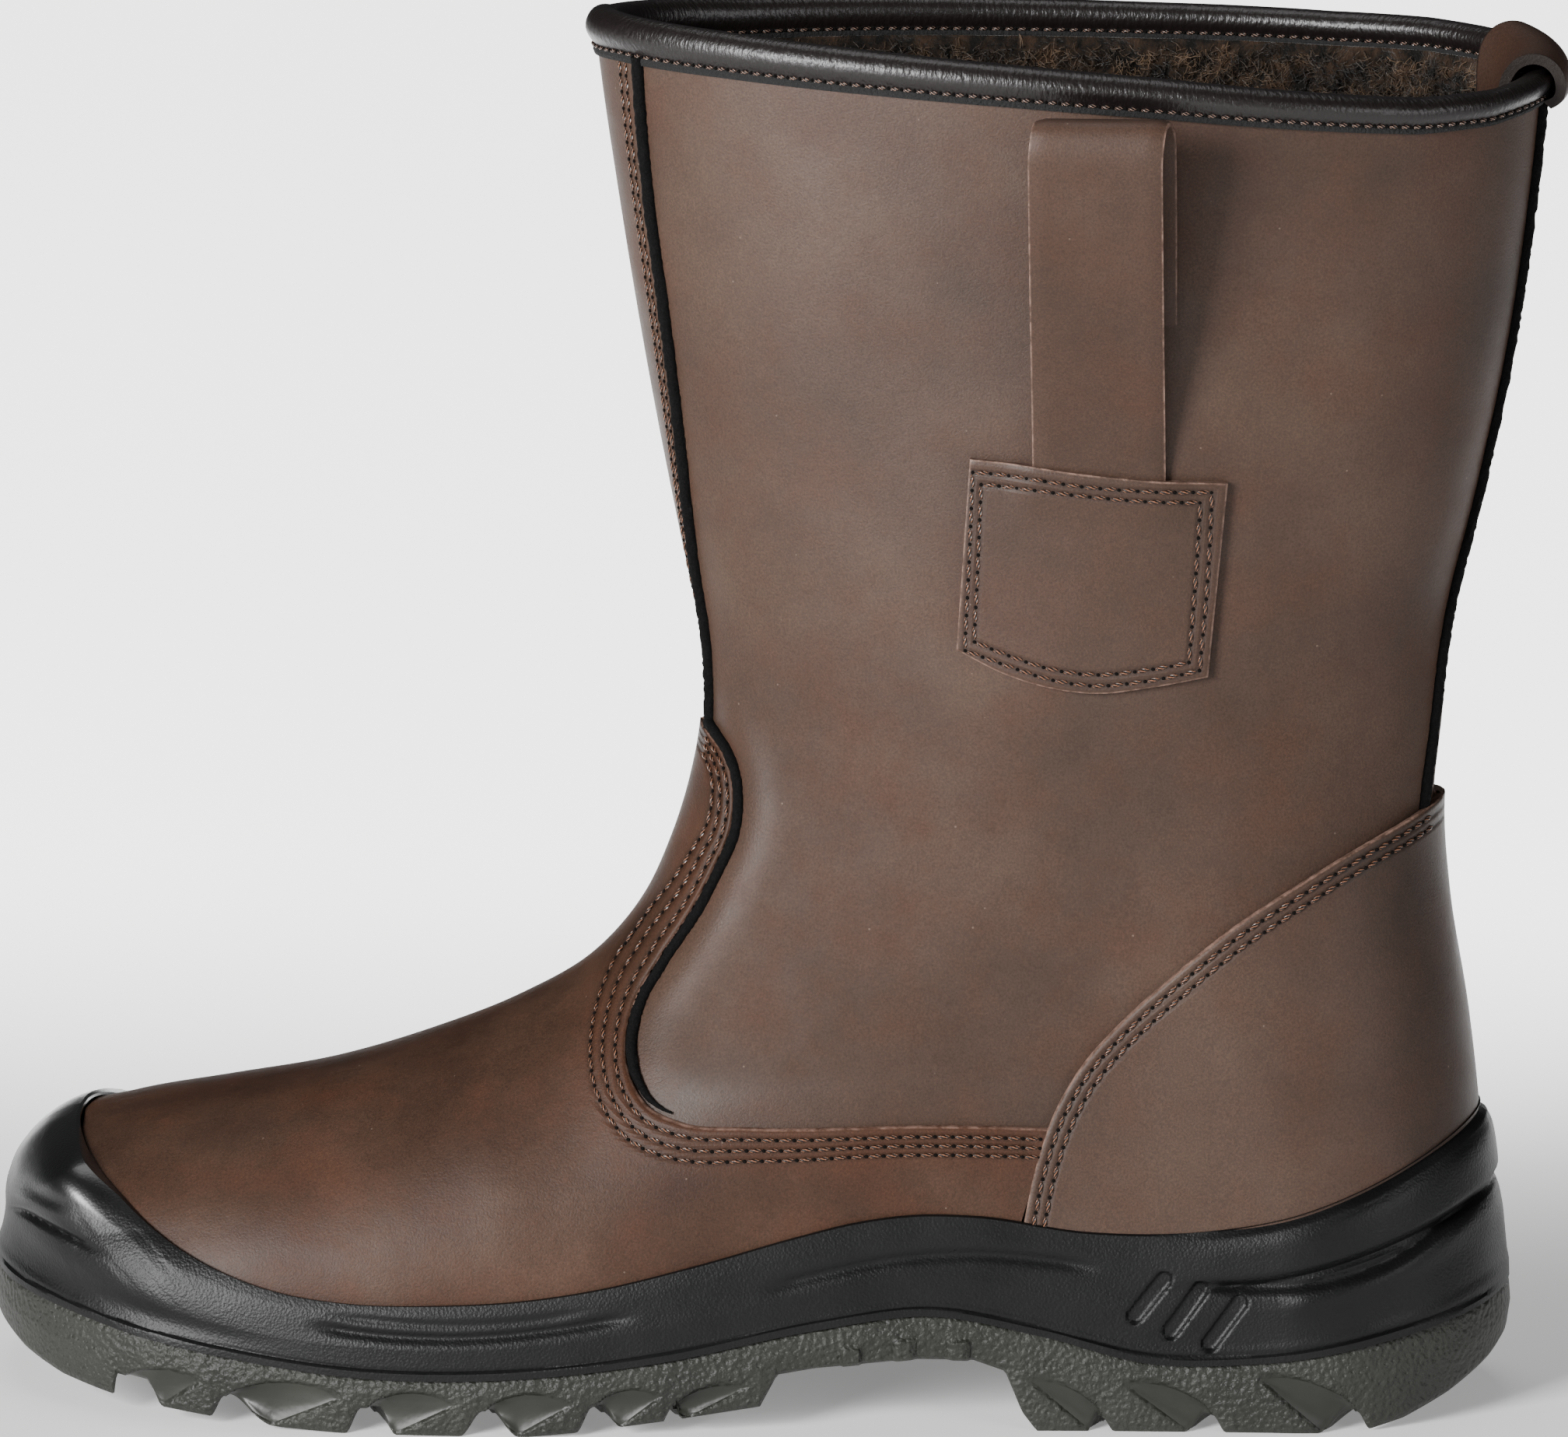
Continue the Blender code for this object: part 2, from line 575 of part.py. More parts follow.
# Vamp and heel counter: skins over the upper, trimmed to their pattern
cup_top = [tuple(p) for p in smooth(CUP_EDGE, 60)]
counter_edge = [tuple(p) for p in smooth(COUNTER_EDGE, 20)]
wing_end = [tuple(p) for p in beside(counter_edge, -0.5) if 44.0 < p[1] < 62.0]
vamp_edge = [tuple(p) for p in smooth(VAMP_EDGE, 36) if p[0] < 217.0 or p[1] > 70.0]
vamp_low = [(x, z + 0.5) for x, z in cup_top if x < 213.0]
vamp_outline = [(118.0, 165.0), (142.6, 144.6)] + vamp_edge + wing_end + vamp_low[::-1]
vamp_outline += [(10.0, 80.0), (60.0, 120.0)]
vamp = skin("vamp", 0.0, 0.72, GAP, GAP + VAMP_THICK, brown)
cut(vamp, prism("vamp_pattern", vamp_outline, -110.0, 110.0), "INTERSECT")

counter_low = [(x, z + 0.5) for x, z in cup_top if x > 214.6]
counter_outline = [(325.0, 127.0)] + [p for p in counter_edge if p[1] > counter_low[0][1] + 1.0] + counter_low
counter_outline += [(325.0, 62.0)]
heel_counter = skin("heel_counter", 0.0, 0.6, GAP, GAP + COUNTER_THICK, brown)
cut(heel_counter, prism("counter_pattern", counter_outline, -110.0, 110.0), "INTERSECT")

# Collar binding rolled over the edge of the leather
binding_rings = [level(1.0 + h / COLLAR_RUN, g) for h, g in BINDING]
collar_binding = loft("collar_binding", binding_rings, black_leather, True)

# Piping cords in the seams
piping_front = skin("piping_front", 0.4, UNDER_BINDING, GAP, GAP + PIPING_HIGH, black_cord)
seam = stripe([(y, z) for z, y in FRONT_SEAM], PIPING_WIDE)
cut(piping_front, prism("front_seam", seam, 90.0, 200.0, "x"), "INTERSECT")
piping_back = skin("piping_back", 0.3, UNDER_BINDING, GAP, GAP + PIPING_HIGH, black_cord)
seam = stripe([(y, z) for z, y in BACK_SEAM], PIPING_WIDE)
cut(piping_back, prism("back_seam", seam, 250.0, 350.0, "x"), "INTERSECT")
cord_line = beside(smooth(VAMP_EDGE, 36)[3:26], 1.6)
for side, label in ((LATERAL, "lateral"), (MEDIAL, "medial")):
    ends = sorted((side * 4.0, side * 110.0))
    piping = skin(f"piping_vamp_{label}", 0.1, 0.72, GAP, GAP + PIPING_HIGH, black_cord)
    cut(piping, prism(f"vamp_seam_{label}", stripe(cord_line, PIPING_WIDE), ends[0], ends[1]), "INTERSECT")

# Pull straps with their patches on both sides of the shaft
for side, label in ((LATERAL, "lateral"), (MEDIAL, "medial")):
    ends = sorted((0.0, side * 110.0))
    patch = skin(f"strap_patch_{label}", 0.4, 0.86, GAP, GAP + PATCH_THICK, brown)
    cut(patch, prism(f"patch_pattern_{label}", PATCH, ends[0], ends[1]), "INTERSECT")
    run = []
    for away, z in STRAP_RUN:
        wall = float(surface(np.array([STRAP_X]), np.array([z]), side, 0.0)[0])
        run.append((STRAP_X, wall + side * (away + GAP + STRAP_THICK / 2.0), z))
    across = [(side * STRAP_WIDE / 2.0, 0.0, 0.0)] * len(run)
    ribbon(f"pull_strap_{label}", run, across, STRAP_THICK, brown_edge)

# Rear loop over the back of the collar
back_edge = profile_point(BACK_LINE, HEEL_TOP, -1.0, 0.0)
loop_run = [(back_edge[0] + away, 0.0, back_edge[1] + rise) for away, rise in LOOP_RUN]
ribbon("rear_loop", loop_run, [(0.0, LOOP_WIDE / 2.0, 0.0)] * len(loop_run), LOOP_THICK, brown_edge)
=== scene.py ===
"""Tall pull-on safety boot, left foot, in oiled leather, fleece, moulded polyurethane and rubber.

Lengths are millimetres in the boot's own frame, x from the toe tip to the heel, y from the
outer (lateral) to the inner (medial) side, z up from the floor. Meshes are made in metres.
"""

import math

import bpy
import numpy as np
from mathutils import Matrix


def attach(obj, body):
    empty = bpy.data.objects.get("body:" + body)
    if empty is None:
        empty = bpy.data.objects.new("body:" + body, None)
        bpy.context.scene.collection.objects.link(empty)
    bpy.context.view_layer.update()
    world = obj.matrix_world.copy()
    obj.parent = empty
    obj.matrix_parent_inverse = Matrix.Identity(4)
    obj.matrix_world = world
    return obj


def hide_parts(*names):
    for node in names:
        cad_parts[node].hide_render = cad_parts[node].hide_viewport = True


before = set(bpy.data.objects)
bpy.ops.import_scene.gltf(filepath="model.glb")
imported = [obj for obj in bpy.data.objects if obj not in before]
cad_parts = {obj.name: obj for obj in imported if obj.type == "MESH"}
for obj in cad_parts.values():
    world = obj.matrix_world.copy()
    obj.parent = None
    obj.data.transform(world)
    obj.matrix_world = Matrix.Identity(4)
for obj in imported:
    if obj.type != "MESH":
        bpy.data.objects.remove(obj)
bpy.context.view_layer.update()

MM = 0.001
ORIGIN = np.array([159.9, 0.0, 0.0])
SOLE_LENGTH = 312.0
BALL_WIDTH = 97.0
INSTEP_X = 124.0
INSTEP_HEIGHT = 87.0
HEEL_SEAT = 29.0
COLLAR_FRONT = 281.0
COLLAR_BACK = 275.0
COLLAR_RUN = 345.0
WALL = 3.0
TOE_BIAS = 6.0
TOE_EASED = 70.0
LATERAL = -1.0
MEDIAL = 1.0
SIDES = ((LATERAL, "lateral"), (MEDIAL, "medial"))

# The boot's driving curves, as in the part's own source.
# Front of the leather: x, z, depth over which the edge rounds, squareness of that rounding
DORSAL = [
    (4.0, -4.0, 40.0, 2.0), (4.0, 20.0, 40.0, 2.0), (5.0, 33.0, 38.0, 2.05), (8.2, 43.0, 35.0, 2.1),
    (15.2, 49.8, 33.0, 2.15), (26.0, 53.0, 33.0, 2.2), (46.0, 57.2, 36.0, 2.2), (68.0, 62.0, 42.0, 2.15),
    (90.0, 69.4, 48.0, 2.1), (108.0, 77.1, 54.0, 2.05), (INSTEP_X, INSTEP_HEIGHT, 60.0, 2.0),
    (135.0, 100.0, 64.0, 2.0), (141.0, 113.0, 68.0, 2.0), (145.0, 126.0, 72.0, 2.0),
    (147.3, 140.0, 76.0, 2.0), (146.6, 152.0, 80.0, 2.0), (141.8, 175.0, 86.0, 2.0),
    (134.9, 211.0, 94.0, 2.0), (129.0, 247.0, 100.0, 2.0), (124.9, 276.0, 102.0, 2.0),
    (123.0, 295.0, 102.0, 2.0),
]
# Back of the leather: x, z, rounding depth, squareness
BACK = [
    (304.6, -4.0, 38.0, 2.0), (304.6, 30.0, 38.0, 2.0), (303.4, 55.0, 40.0, 2.0), (300.6, 80.0, 44.0, 2.0),
    (296.6, 104.0, 50.0, 2.0), (295.2, 122.0, 56.0, 2.0), (296.8, 141.0, 62.0, 2.0),
    (299.0, 165.0, 68.0, 2.0), (304.2, 190.0, 72.0, 2.0), (310.0, 220.0, 74.0, 2.0),
    (313.9, 250.0, 74.0, 2.0), (316.2, 275.0, 74.0, 2.0), (317.4, 295.0, 74.0, 2.0),
]
# Half widths of the foot: share of the sole length, then shares of the ball width
FOOT = [
    (0.00, 0.45, 0.43), (0.13, 0.485, 0.475), (0.27, 0.505, 0.490), (0.36, 0.503, 0.465),
    (0.45, 0.480, 0.415), (0.56, 0.432, 0.360), (0.68, 0.382, 0.330), (0.79, 0.365, 0.342),
    (0.90, 0.358, 0.348), (1.00, 0.352, 0.342),
]
# Half width of the shaft: height, half width
SHAFT = [(70.0, 36.0), (110.0, 36.0), (150.0, 38.0), (200.0, 42.0), (245.0, 44.5), (300.0, 45.5)]
# Lasted lower edge of the leather: x, z
FEATHER = [
    (0.0, 27.5), (20.0, 24.6), (42.0, 20.6), (64.0, 17.6), (88.0, 16.2), (112.0, 17.0), (141.0, 20.8),
    (172.0, 26.4), (195.0, 28.6), (235.0, HEEL_SEAT), (SOLE_LENGTH, HEEL_SEAT + 0.5),
]
# Line between midsole and outsole: x, z
PARTING = [
    (0.0, 23.0), (20.0, 20.4), (48.0, 15.6), (80.0, 12.0), (105.0, 12.0), (141.0, 15.8), (172.0, 22.0),
    (195.0, 24.6), (217.0, 20.4), (240.0, 14.6), (262.0, 14.8), (291.0, 19.6), (SOLE_LENGTH, 24.0),
]
# Upper edge of the midsole with its scuff cap: x, z
CUP_EDGE = [
    (17.6, 54.2), (19.6, 52.6), (22.4, 50.3), (25.6, 47.8), (30.0, 44.7), (35.0, 40.9), (43.0, 35.9),
    (53.5, 31.3), (64.0, 28.4), (76.0, 26.9), (96.0, 26.8), (112.0, 27.8), (127.0, 30.0), (148.0, 35.0),
    (169.0, 40.8), (180.0, 43.4), (192.0, 44.8), (204.0, 44.4), (227.0, 41.0), (248.0, 40.9), (266.0, 43.6),
    (281.0, 48.4), (294.0, 54.0), (306.0, 60.0),
]
# Underside of the tread: x, z
TREAD = [
    (0.0, 12.4), (8.0, 8.8), (17.0, 6.2), (29.0, 4.4), (40.0, 3.2), (52.0, 1.8), (64.0, 0.6), (76.0, 0.0),
    (114.0, 0.0), (125.0, 1.0), (143.0, 3.4), (161.0, 6.0), (164.5, 12.6), (172.0, 13.8), (192.0, 15.4),
    (204.0, 15.0), (210.5, 12.6), (214.0, 4.0), (217.0, 0.0), (283.0, 0.0), (292.0, 2.2), (301.0, 6.0),
    (308.0, 9.8), (SOLE_LENGTH, 13.0),
]
# Sewn edge of the vamp from its peak to the end of its wing: x, z
VAMP_EDGE = [
    (145.6, 138.4), (148.2, 136.9), (150.9, 134.4), (152.8, 130.8), (153.5, 126.2), (153.0, 120.0),
    (149.5, 111.5), (145.8, 104.2), (138.2, 92.4), (134.0, 85.0), (132.5, 78.8), (133.2, 72.4),
    (137.4, 66.2), (145.0, 63.2), (158.0, 62.7), (195.0, 63.1), (219.0, 62.4),
]
# Sewn edge of the counter from the back down to the sole: x, z
COUNTER_EDGE = [
    (297.0, 125.4), (290.0, 122.8), (281.0, 119.0), (268.0, 112.0), (255.5, 104.0), (243.0, 93.6),
    (233.0, 84.2), (225.0, 74.8), (219.6, 64.8), (216.4, 55.0), (213.4, 40.0),
]
# Tilt of the collar: x, rise of its edge on the outer side, rise on the inner side
COLLAR_TILT = [
    (118.0, 0.6, 0.6), (130.0, 1.6, 0.0), (152.0, 1.4, -0.9), (180.0, 0.6, -0.5), (211.0, -0.4, -0.2),
    (242.0, -1.7, 0.2), (272.0, -3.6, 0.6), (292.0, -4.9, 1.5), (306.0, -4.4, 1.4), (318.0, -2.0, -2.0),
]
# Seams seen from the front and from the back: height, shift to the outer side
FRONT_SEAM = [(278.0, -19.3), (248.0, -17.4), (226.0, -16.6), (203.0, -14.6), (182.0, -11.6), (161.0, -7.8),
              (142.0, -4.6), (136.0, -4.4)]
BACK_SEAM = [(272.0, -1.0), (230.0, -1.0), (190.0, -2.5), (155.0, -7.0), (124.0, -9.0)]
# Upper and lower edge of the patch: x, z
PATCH_TOP = [(202.7, 201.0), (213.9, 200.2), (224.8, 198.8), (237.3, 197.6), (254.3, 196.6)]
PATCH_LOW = [(199.9, 161.3), (209.9, 156.5), (219.1, 153.9), (229.2, 153.0), (237.5, 154.1), (250.5, 156.5)]
STRAP_X = 228.6
STRAP_WIDE = 26.6
STRAP_THICK = 1.8
# Pull strap: distance from the shaft, height, from under the patch over the fold to the free end
STRAP_RUN = [
    (0.0, 184.0), (0.1, 199.5), (2.4, 208.5), (6.0, 218.5), (9.8, 228.5), (13.4, 239.5), (16.8, 250.5),
    (19.8, 261.5), (21.2, 268.4), (20.0, 271.9), (15.8, 272.5), (10.4, 269.0), (6.0, 259.5), (2.8, 245.0),
    (1.0, 229.6),
]
STRAP_SKEW = 2.2
# Collar binding: height over the leather edge, how far outside the leather
BINDING = [
    (-5.9, 0.1), (-6.0, 0.7), (-5.2, 1.0), (-4.0, 0.55), (-3.1, 1.1), (-0.8, 2.0), (1.3, 1.6), (2.8, 0.3),
    (3.3, -1.6), (2.8, -3.5), (1.3, -4.8), (-0.8, -5.2), (-3.1, -4.5), (-4.0, -3.9), (-5.2, -4.3),
    (-5.9, -3.9), (-5.7, -3.2), (-2.4, -2.6), (-0.6, -1.5), (-2.4, -0.3),
]
BINDING_SEAM = -4.0
# Rear loop: distance outside the leather, height over its edge; it lies round the back of the collar
LOOP_WIDE = 21.5
LOOP_THICK = 2.1
LOOP_MIDDLE = 4.2
LOOP_RUN = [
    (-7.4, -24.0), (-7.5, -14.0), (-7.7, -7.0), (-7.6, -2.0), (-6.8, 2.0), (-4.7, 4.8), (-1.8, 5.9),
    (1.1, 5.3), (3.3, 3.2), (4.1, 0.4), (3.8, -2.2), (2.8, -4.4), (1.4, -6.0),
]
# Distance from one stitch to the next
STITCH_PITCH = 3.5
# Stitch rows of the vamp: distance along the sewn edge, then how far in each of the three rows lies
VAMP_ROWS = np.array([
    (0.0, 1.2, 2.6, 4.0), (25.0, 1.4, 3.2, 5.0), (50.0, 2.1, 4.6, 7.0), (72.0, 2.2, 4.9, 7.5),
    (95.0, 2.1, 4.4, 6.6), (125.0, 2.0, 3.9, 5.8), (250.0, 2.0, 3.9, 5.8),
])
COUNTER_ROWS = (2.0, 4.2)
# Stitch rows of the patch, outer then inner, each read round its four sides from corner to corner
PATCH_SEWN = [
    [(203.3, 198.5), (213.9, 197.7), (224.8, 196.3), (237.3, 195.4), (251.2, 194.9)],
    [(251.2, 194.9), (250.3, 175.8), (248.8, 157.9)],
    [(248.8, 157.9), (237.5, 155.7), (228.3, 154.7), (219.1, 155.8), (211.6, 158.0), (201.6, 161.3)],
    [(201.6, 161.3), (202.6, 181.1), (203.3, 198.5)],
    [(205.0, 196.0), (214.0, 195.4), (224.8, 194.3), (237.3, 193.3), (248.9, 192.8)],
    [(248.9, 192.8), (248.0, 177.5), (246.7, 159.6)],
    [(246.7, 159.6), (237.5, 158.0), (228.3, 157.0), (219.1, 158.0), (211.6, 160.2), (203.5, 163.2)],
    [(203.5, 163.2), (204.3, 179.0), (205.0, 196.0)],
]
# Soft creases of the worn-in leather: two ends in the side view, width, height (minus is a trough)
CREASES = [
    (162.0, 112.0, 200.0, 94.0, 9.0, -0.5),
    (150.0, 88.0, 190.0, 72.0, 8.0, 0.3),
    (160.0, 150.0, 215.0, 128.0, 14.0, -0.6),
    (290.0, 150.0, 240.0, 132.0, 13.0, -0.9),
    (292.0, 172.0, 250.0, 160.0, 12.0, 0.7),
    (172.0, 270.0, 168.0, 190.0, 16.0, 0.9),
    (262.0, 262.0, 270.0, 190.0, 14.0, -0.8),
    (118.0, 74.0, 124.0, 48.0, 9.0, -0.5),
    (100.0, 70.0, 108.0, 44.0, 8.0, 0.4),
]
# Leather drawn down along the vamp seam, and the puff just behind it
SEAM_DIP = 0.7
SEAM_DIP_WIDE = 2.0
PUFF_HIGH = 1.3
PUFF_BEHIND = 4.0
PUFF_WIDE = 5.5
WAVER = 0.22
CREASES_END = 9.0
# Foot widths pass into shaft widths over this height; the toe's bias to the inner side fades over this length
LEG_FROM = 72.0
LEG_BLEND = 80.0
TOE_TURN = 95.0
# Spiral of places over which the toe's surface is averaged
TOE_SAMPLES = 26
TOE_REACH = 12.0
SPIRAL_TURN = 2.4
NEAREST_CHUNK = 8000
SMOOTH_ANGLE = 50.0
SOLE_ANGLE = 38.0


def ease(t):
    """Smooth step from 0 to 1."""
    t = np.clip(t, 0.0, 1.0)
    return t * t * (3.0 - 2.0 * t)


def rise(value, start, length):
    """Smooth step from 0 at start to 1 a length further on."""
    return ease((value - start) / length)


def fall(value, start, length):
    """Smooth step from 1 at start to 0 a length further on."""
    return 1.0 - rise(value, start, length)


def hump(value, middle, wide):
    """Soft bell of height 1."""
    return np.exp(-((value - middle) / wide) ** 2)


def lobe(share, power):
    """Quarter of a rounded outline, 0 at its tip and 1 from its full width on."""
    share = np.clip(share, 0.0, 1.0)
    return (1.0 - (1.0 - share) ** power) ** (1.0 / power)


def unit(vectors):
    """Vectors scaled to length 1."""
    return vectors / np.linalg.norm(vectors, axis=-1, keepdims=True)


def run_of(line):
    """Distance along a line, in its first two columns, at each of its points."""
    return np.concatenate([[0.0], np.cumsum(np.linalg.norm(np.diff(line[:, :2], axis=0), axis=1))])


def smooth(rows, count):
    """Even points on a smooth curve through the rows, all columns carried along."""
    rows = np.array(rows, float)
    run = run_of(rows)
    slope = np.gradient(rows, run, axis=0)
    at = np.linspace(0.0, run[-1], count)
    k = np.clip(np.searchsorted(run, at, side="right") - 1, 0, len(run) - 2)
    step = (run[k + 1] - run[k])[:, None]
    t = (at - run[k])[:, None] / step
    start = (2 * t ** 3 - 3 * t ** 2 + 1) * rows[k] + (t ** 3 - 2 * t ** 2 + t) * step * slope[k]
    finish = (3 * t ** 2 - 2 * t ** 3) * rows[k + 1] + (t ** 3 - t ** 2) * step * slope[k + 1]
    return start + finish


def rounded_ring(rows, count):
    """Even points on a smooth closed curve through the rows."""
    closed = rows[-3:] + rows + rows[:3]
    fine = smooth(closed, 60 * len(closed))
    away = np.linalg.norm(fine - np.array(rows[0]), axis=1)
    half = len(fine) // 2
    low = np.argmin(away[:half])
    high = half + np.argmin(away[half:])
    return fine[np.linspace(low, high, count + 1).astype(int)[:-1]]


DORSAL_LINE = smooth(DORSAL, 300)
BACK_LINE = smooth(BACK, 200)
FOOT_LINE = smooth([(a * SOLE_LENGTH, b * BALL_WIDTH, c * BALL_WIDTH) for a, b, c in FOOT], 160)
SHAFT_LINE = smooth(SHAFT, 80)
FEATHER_LINE = smooth(FEATHER, 120)
PARTING_LINE = smooth(PARTING, 300)
CUP_LINE = smooth(CUP_EDGE, 400)
VAMP_LINE = smooth(VAMP_EDGE, 240)
COUNTER_LINE = smooth(COUNTER_EDGE, 160)
TREAD_TABLE = np.array(TREAD)
TILT_TABLE = np.array(COLLAR_TILT)


def follow(line, x, column=1):
    """Value of a curve's column at x."""
    return np.interp(x, line[:, 0], line[:, column])


def nearest(line, inward, x, z):
    """Signed depth of side-view points inside a profile, and its other columns at the nearest place."""
    start = line[:-1, :2]
    span = line[1:, :2] - start
    size = np.maximum((span ** 2).sum(1), 1e-9)
    depth = np.empty(len(x))
    rounding = np.empty((len(x), line.shape[1] - 2))
    for low in range(0, len(x), NEAREST_CHUNK):
        part = slice(low, low + NEAREST_CHUNK)
        dx = x[part, None] - start[None, :, 0]
        dz = z[part, None] - start[None, :, 1]
        t = np.clip((dx * span[:, 0] + dz * span[:, 1]) / size, 0.0, 1.0)
        gap = np.hypot(dx - t * span[:, 0], dz - t * span[:, 1])
        k = gap.argmin(1)
        row = np.arange(len(k))
        cross = span[k, 0] * dz[row, k] - span[k, 1] * dx[row, k]
        share = t[row, k][:, None]
        depth[part] = gap[row, k] * np.sign(inward * cross)
        rounding[part] = line[k, 2:] * (1.0 - share) + line[k + 1, 2:] * share
    return depth, rounding


def away_from(line, x, z):
    """Plain distance of side-view points from a line, and how far along it they are, in mm."""
    track = np.column_stack([line[:, :2], run_of(line)])
    depth, along = nearest(track, 1.0, np.ravel(x), np.ravel(z))
    return np.abs(depth).reshape(np.shape(x)), along[:, 0].reshape(np.shape(x))


def relief(x, z, front, back):
    """Creases of the leather, gone at the front and back edges."""
    total = np.zeros_like(x)
    for x0, z0, x1, z1, wide, high in CREASES:
        ax, az = x1 - x0, z1 - z0
        t = np.clip(((x - x0) * ax + (z - z0) * az) / (ax * ax + az * az), 0.0, 1.0)
        off = np.hypot(x - x0 - t * ax, z - z0 - t * az)
        total += high * hump(off, 0.0, wide) * (0.35 + 0.65 * np.sin(math.pi * np.clip(t, 0.05, 0.95)))
    seam, _ = nearest(VAMP_LINE, 1.0, x, z)
    total -= SEAM_DIP * np.exp(-np.abs(seam) / SEAM_DIP_WIDE) * rise(z, 60.0, 12.0)
    total += PUFF_HIGH * hump(seam, PUFF_BEHIND, PUFF_WIDE) * rise(z, 76.0, 16.0) * (seam > 0.0)
    total += WAVER * np.sin(x / 17.0 + 0.8 * np.sin(z / 23.0)) * np.sin(z / 29.0 + 0.6 * np.sin(x / 31.0))
    return total * ease(front / CREASES_END) * ease(back / CREASES_END)


def middle_of(x, z):
    """Place across the boot of its ridge line."""
    return TOE_BIAS * (1.0 - ease(x / TOE_TURN)) * fall(z, LEG_FROM, LEG_BLEND)


def plain_surface(x, z, side, grow, soft):
    """The leather's surface as it follows from the two profiles and the half widths."""
    front, front_round = nearest(DORSAL_LINE, -1.0, x, z)
    back, back_round = nearest(BACK_LINE, 1.0, x, z)
    if soft:
        grow = grow + relief(x, z, front, back)
    leg = rise(z, LEG_FROM, LEG_BLEND)
    foot = follow(FOOT_LINE, x, 1 if side < 0 else 2)
    wide = foot * (1.0 - leg) + follow(SHAFT_LINE, z) * leg
    shape = lobe((front + grow) / (front_round[:, 0] + grow), front_round[:, 1])
    shape = shape * lobe((back + grow) / (back_round[:, 0] + grow), back_round[:, 1])
    return middle_of(x, z) + side * (wide + grow) * shape


def surface(x, z, side, grow, soft=False):
    """Place across the boot of the leather's surface, grown outward; eased where toe front and top meet."""
    shape_in = np.shape(x)
    x = np.ravel(np.asarray(x, float))
    z = np.ravel(np.asarray(z, float))
    grow = np.ravel(np.broadcast_to(np.asarray(grow, float), shape_in))
    y = plain_surface(x, z, side, grow, soft)
    near = x < TOE_EASED
    if near.any():
        tx, tz, tg = x[near], z[near], grow[near]
        depth, _ = nearest(DORSAL_LINE, -1.0, tx, tz)
        reach = np.clip(0.6 * (depth + tg), 0.0, TOE_REACH) * fall(tx, 0.6 * TOE_EASED, 0.4 * TOE_EASED)
        total = y[near]
        for k in range(TOE_SAMPLES):
            step = reach * math.sqrt((k + 0.5) / TOE_SAMPLES)
            at_x = tx + step * math.cos(SPIRAL_TURN * k)
            at_z = tz + step * math.sin(SPIRAL_TURN * k)
            total = total + plain_surface(at_x, at_z, side, tg, soft)
        y[near] = total / (TOE_SAMPLES + 1.0)
    return y.reshape(shape_in)


def profile_point(line, place, outward, grow):
    """Points of a profile at running indices, moved outward by grow."""
    place = np.asarray(place, float)
    index = np.arange(len(line))
    slope = np.gradient(line[:, :2], axis=0)
    point = np.stack([np.interp(place, index, line[:, k]) for k in (0, 1)], -1)
    along = np.stack([np.interp(place, index, slope[:, k]) for k in (0, 1)], -1)
    along = unit(along)
    normal = np.stack([-along[..., 1], along[..., 0]], -1)
    return point + outward * np.asarray(grow, float)[..., None] * normal


def place_at(line, height):
    """Running index of a profile at a height."""
    return np.interp(height, line[:, 1], np.arange(len(line)))


TOE_LOW = place_at(DORSAL_LINE, FEATHER[0][1])
HEEL_LOW = place_at(BACK_LINE, FEATHER[-1][1])
TOE_TOP = place_at(DORSAL_LINE, COLLAR_FRONT)
HEEL_TOP = place_at(BACK_LINE, COLLAR_BACK)


def level(share, grow, columns, drop=0.0, soft=False):
    """Ring of the upper between its lasted edge (0) and the collar (1)."""
    spread_out = 0.5 - 0.5 * np.cos(np.linspace(0.0, math.pi, columns + 1))
    back = profile_point(BACK_LINE, HEEL_LOW + share * (HEEL_TOP - HEEL_LOW), -1.0, grow)
    front = profile_point(DORSAL_LINE, TOE_LOW + share * (TOE_TOP - TOE_LOW), 1.0, grow)
    x = back[0] + spread_out * (front[0] - back[0])
    z = back[1] + spread_out * (front[1] - back[1])
    low_back = profile_point(BACK_LINE, HEEL_LOW, -1.0, 0.0)
    low_front = profile_point(DORSAL_LINE, TOE_LOW, 1.0, 0.0)
    chord = np.interp(x, [low_front[0], low_back[0]], [low_front[1], low_back[1]])
    bow = np.where((x > low_front[0]) & (x < low_back[0]), follow(FEATHER_LINE, x) - chord, 0.0)
    z = z + (1.0 - ease(share / 0.3)) * bow + drop
    tilt = [rise(share, 0.6, 0.4) * follow(TILT_TABLE, x, k) for k in (1, 2)]
    return ring_of(x, z, grow, soft, tilt)


def ring_of(x, z, grow, soft=False, lifts=(0.0, 0.0)):
    """Closed ring: outer side from heel to toe, then inner side back, meeting on the ridge."""
    rims = []
    for side, lift in zip((LATERAL, MEDIAL), lifts):
        high = z + lift
        y = surface(x, high, side, grow, soft)
        y[[0, -1]] = middle_of(x[[0, -1]], high[[0, -1]])
        rims.append(np.stack([x, y, high], 1))
    return np.concatenate([rims[0], rims[1][-2:0:-1]])


def along_line(line, share):
    """Points at shares of a line's length."""
    run = run_of(line)
    return np.stack([np.interp(share * run[-1], run, line[:, k]) for k in (0, 1)], -1)


def edge_share(line, x, z):
    """Share of a line's length nearest to side-view places."""
    _, along = away_from(line, np.array(x, float), np.array(z, float))
    return along / np.linalg.norm(np.diff(line[:, :2], axis=0), axis=1).sum()


def beside(run, away):
    """Line moved sideways, to the left of its direction."""
    along = unit(np.gradient(run, axis=0))
    return run + np.stack([-along[:, 1], along[:, 0]], 1) * np.broadcast_to(away, len(run))[:, None]


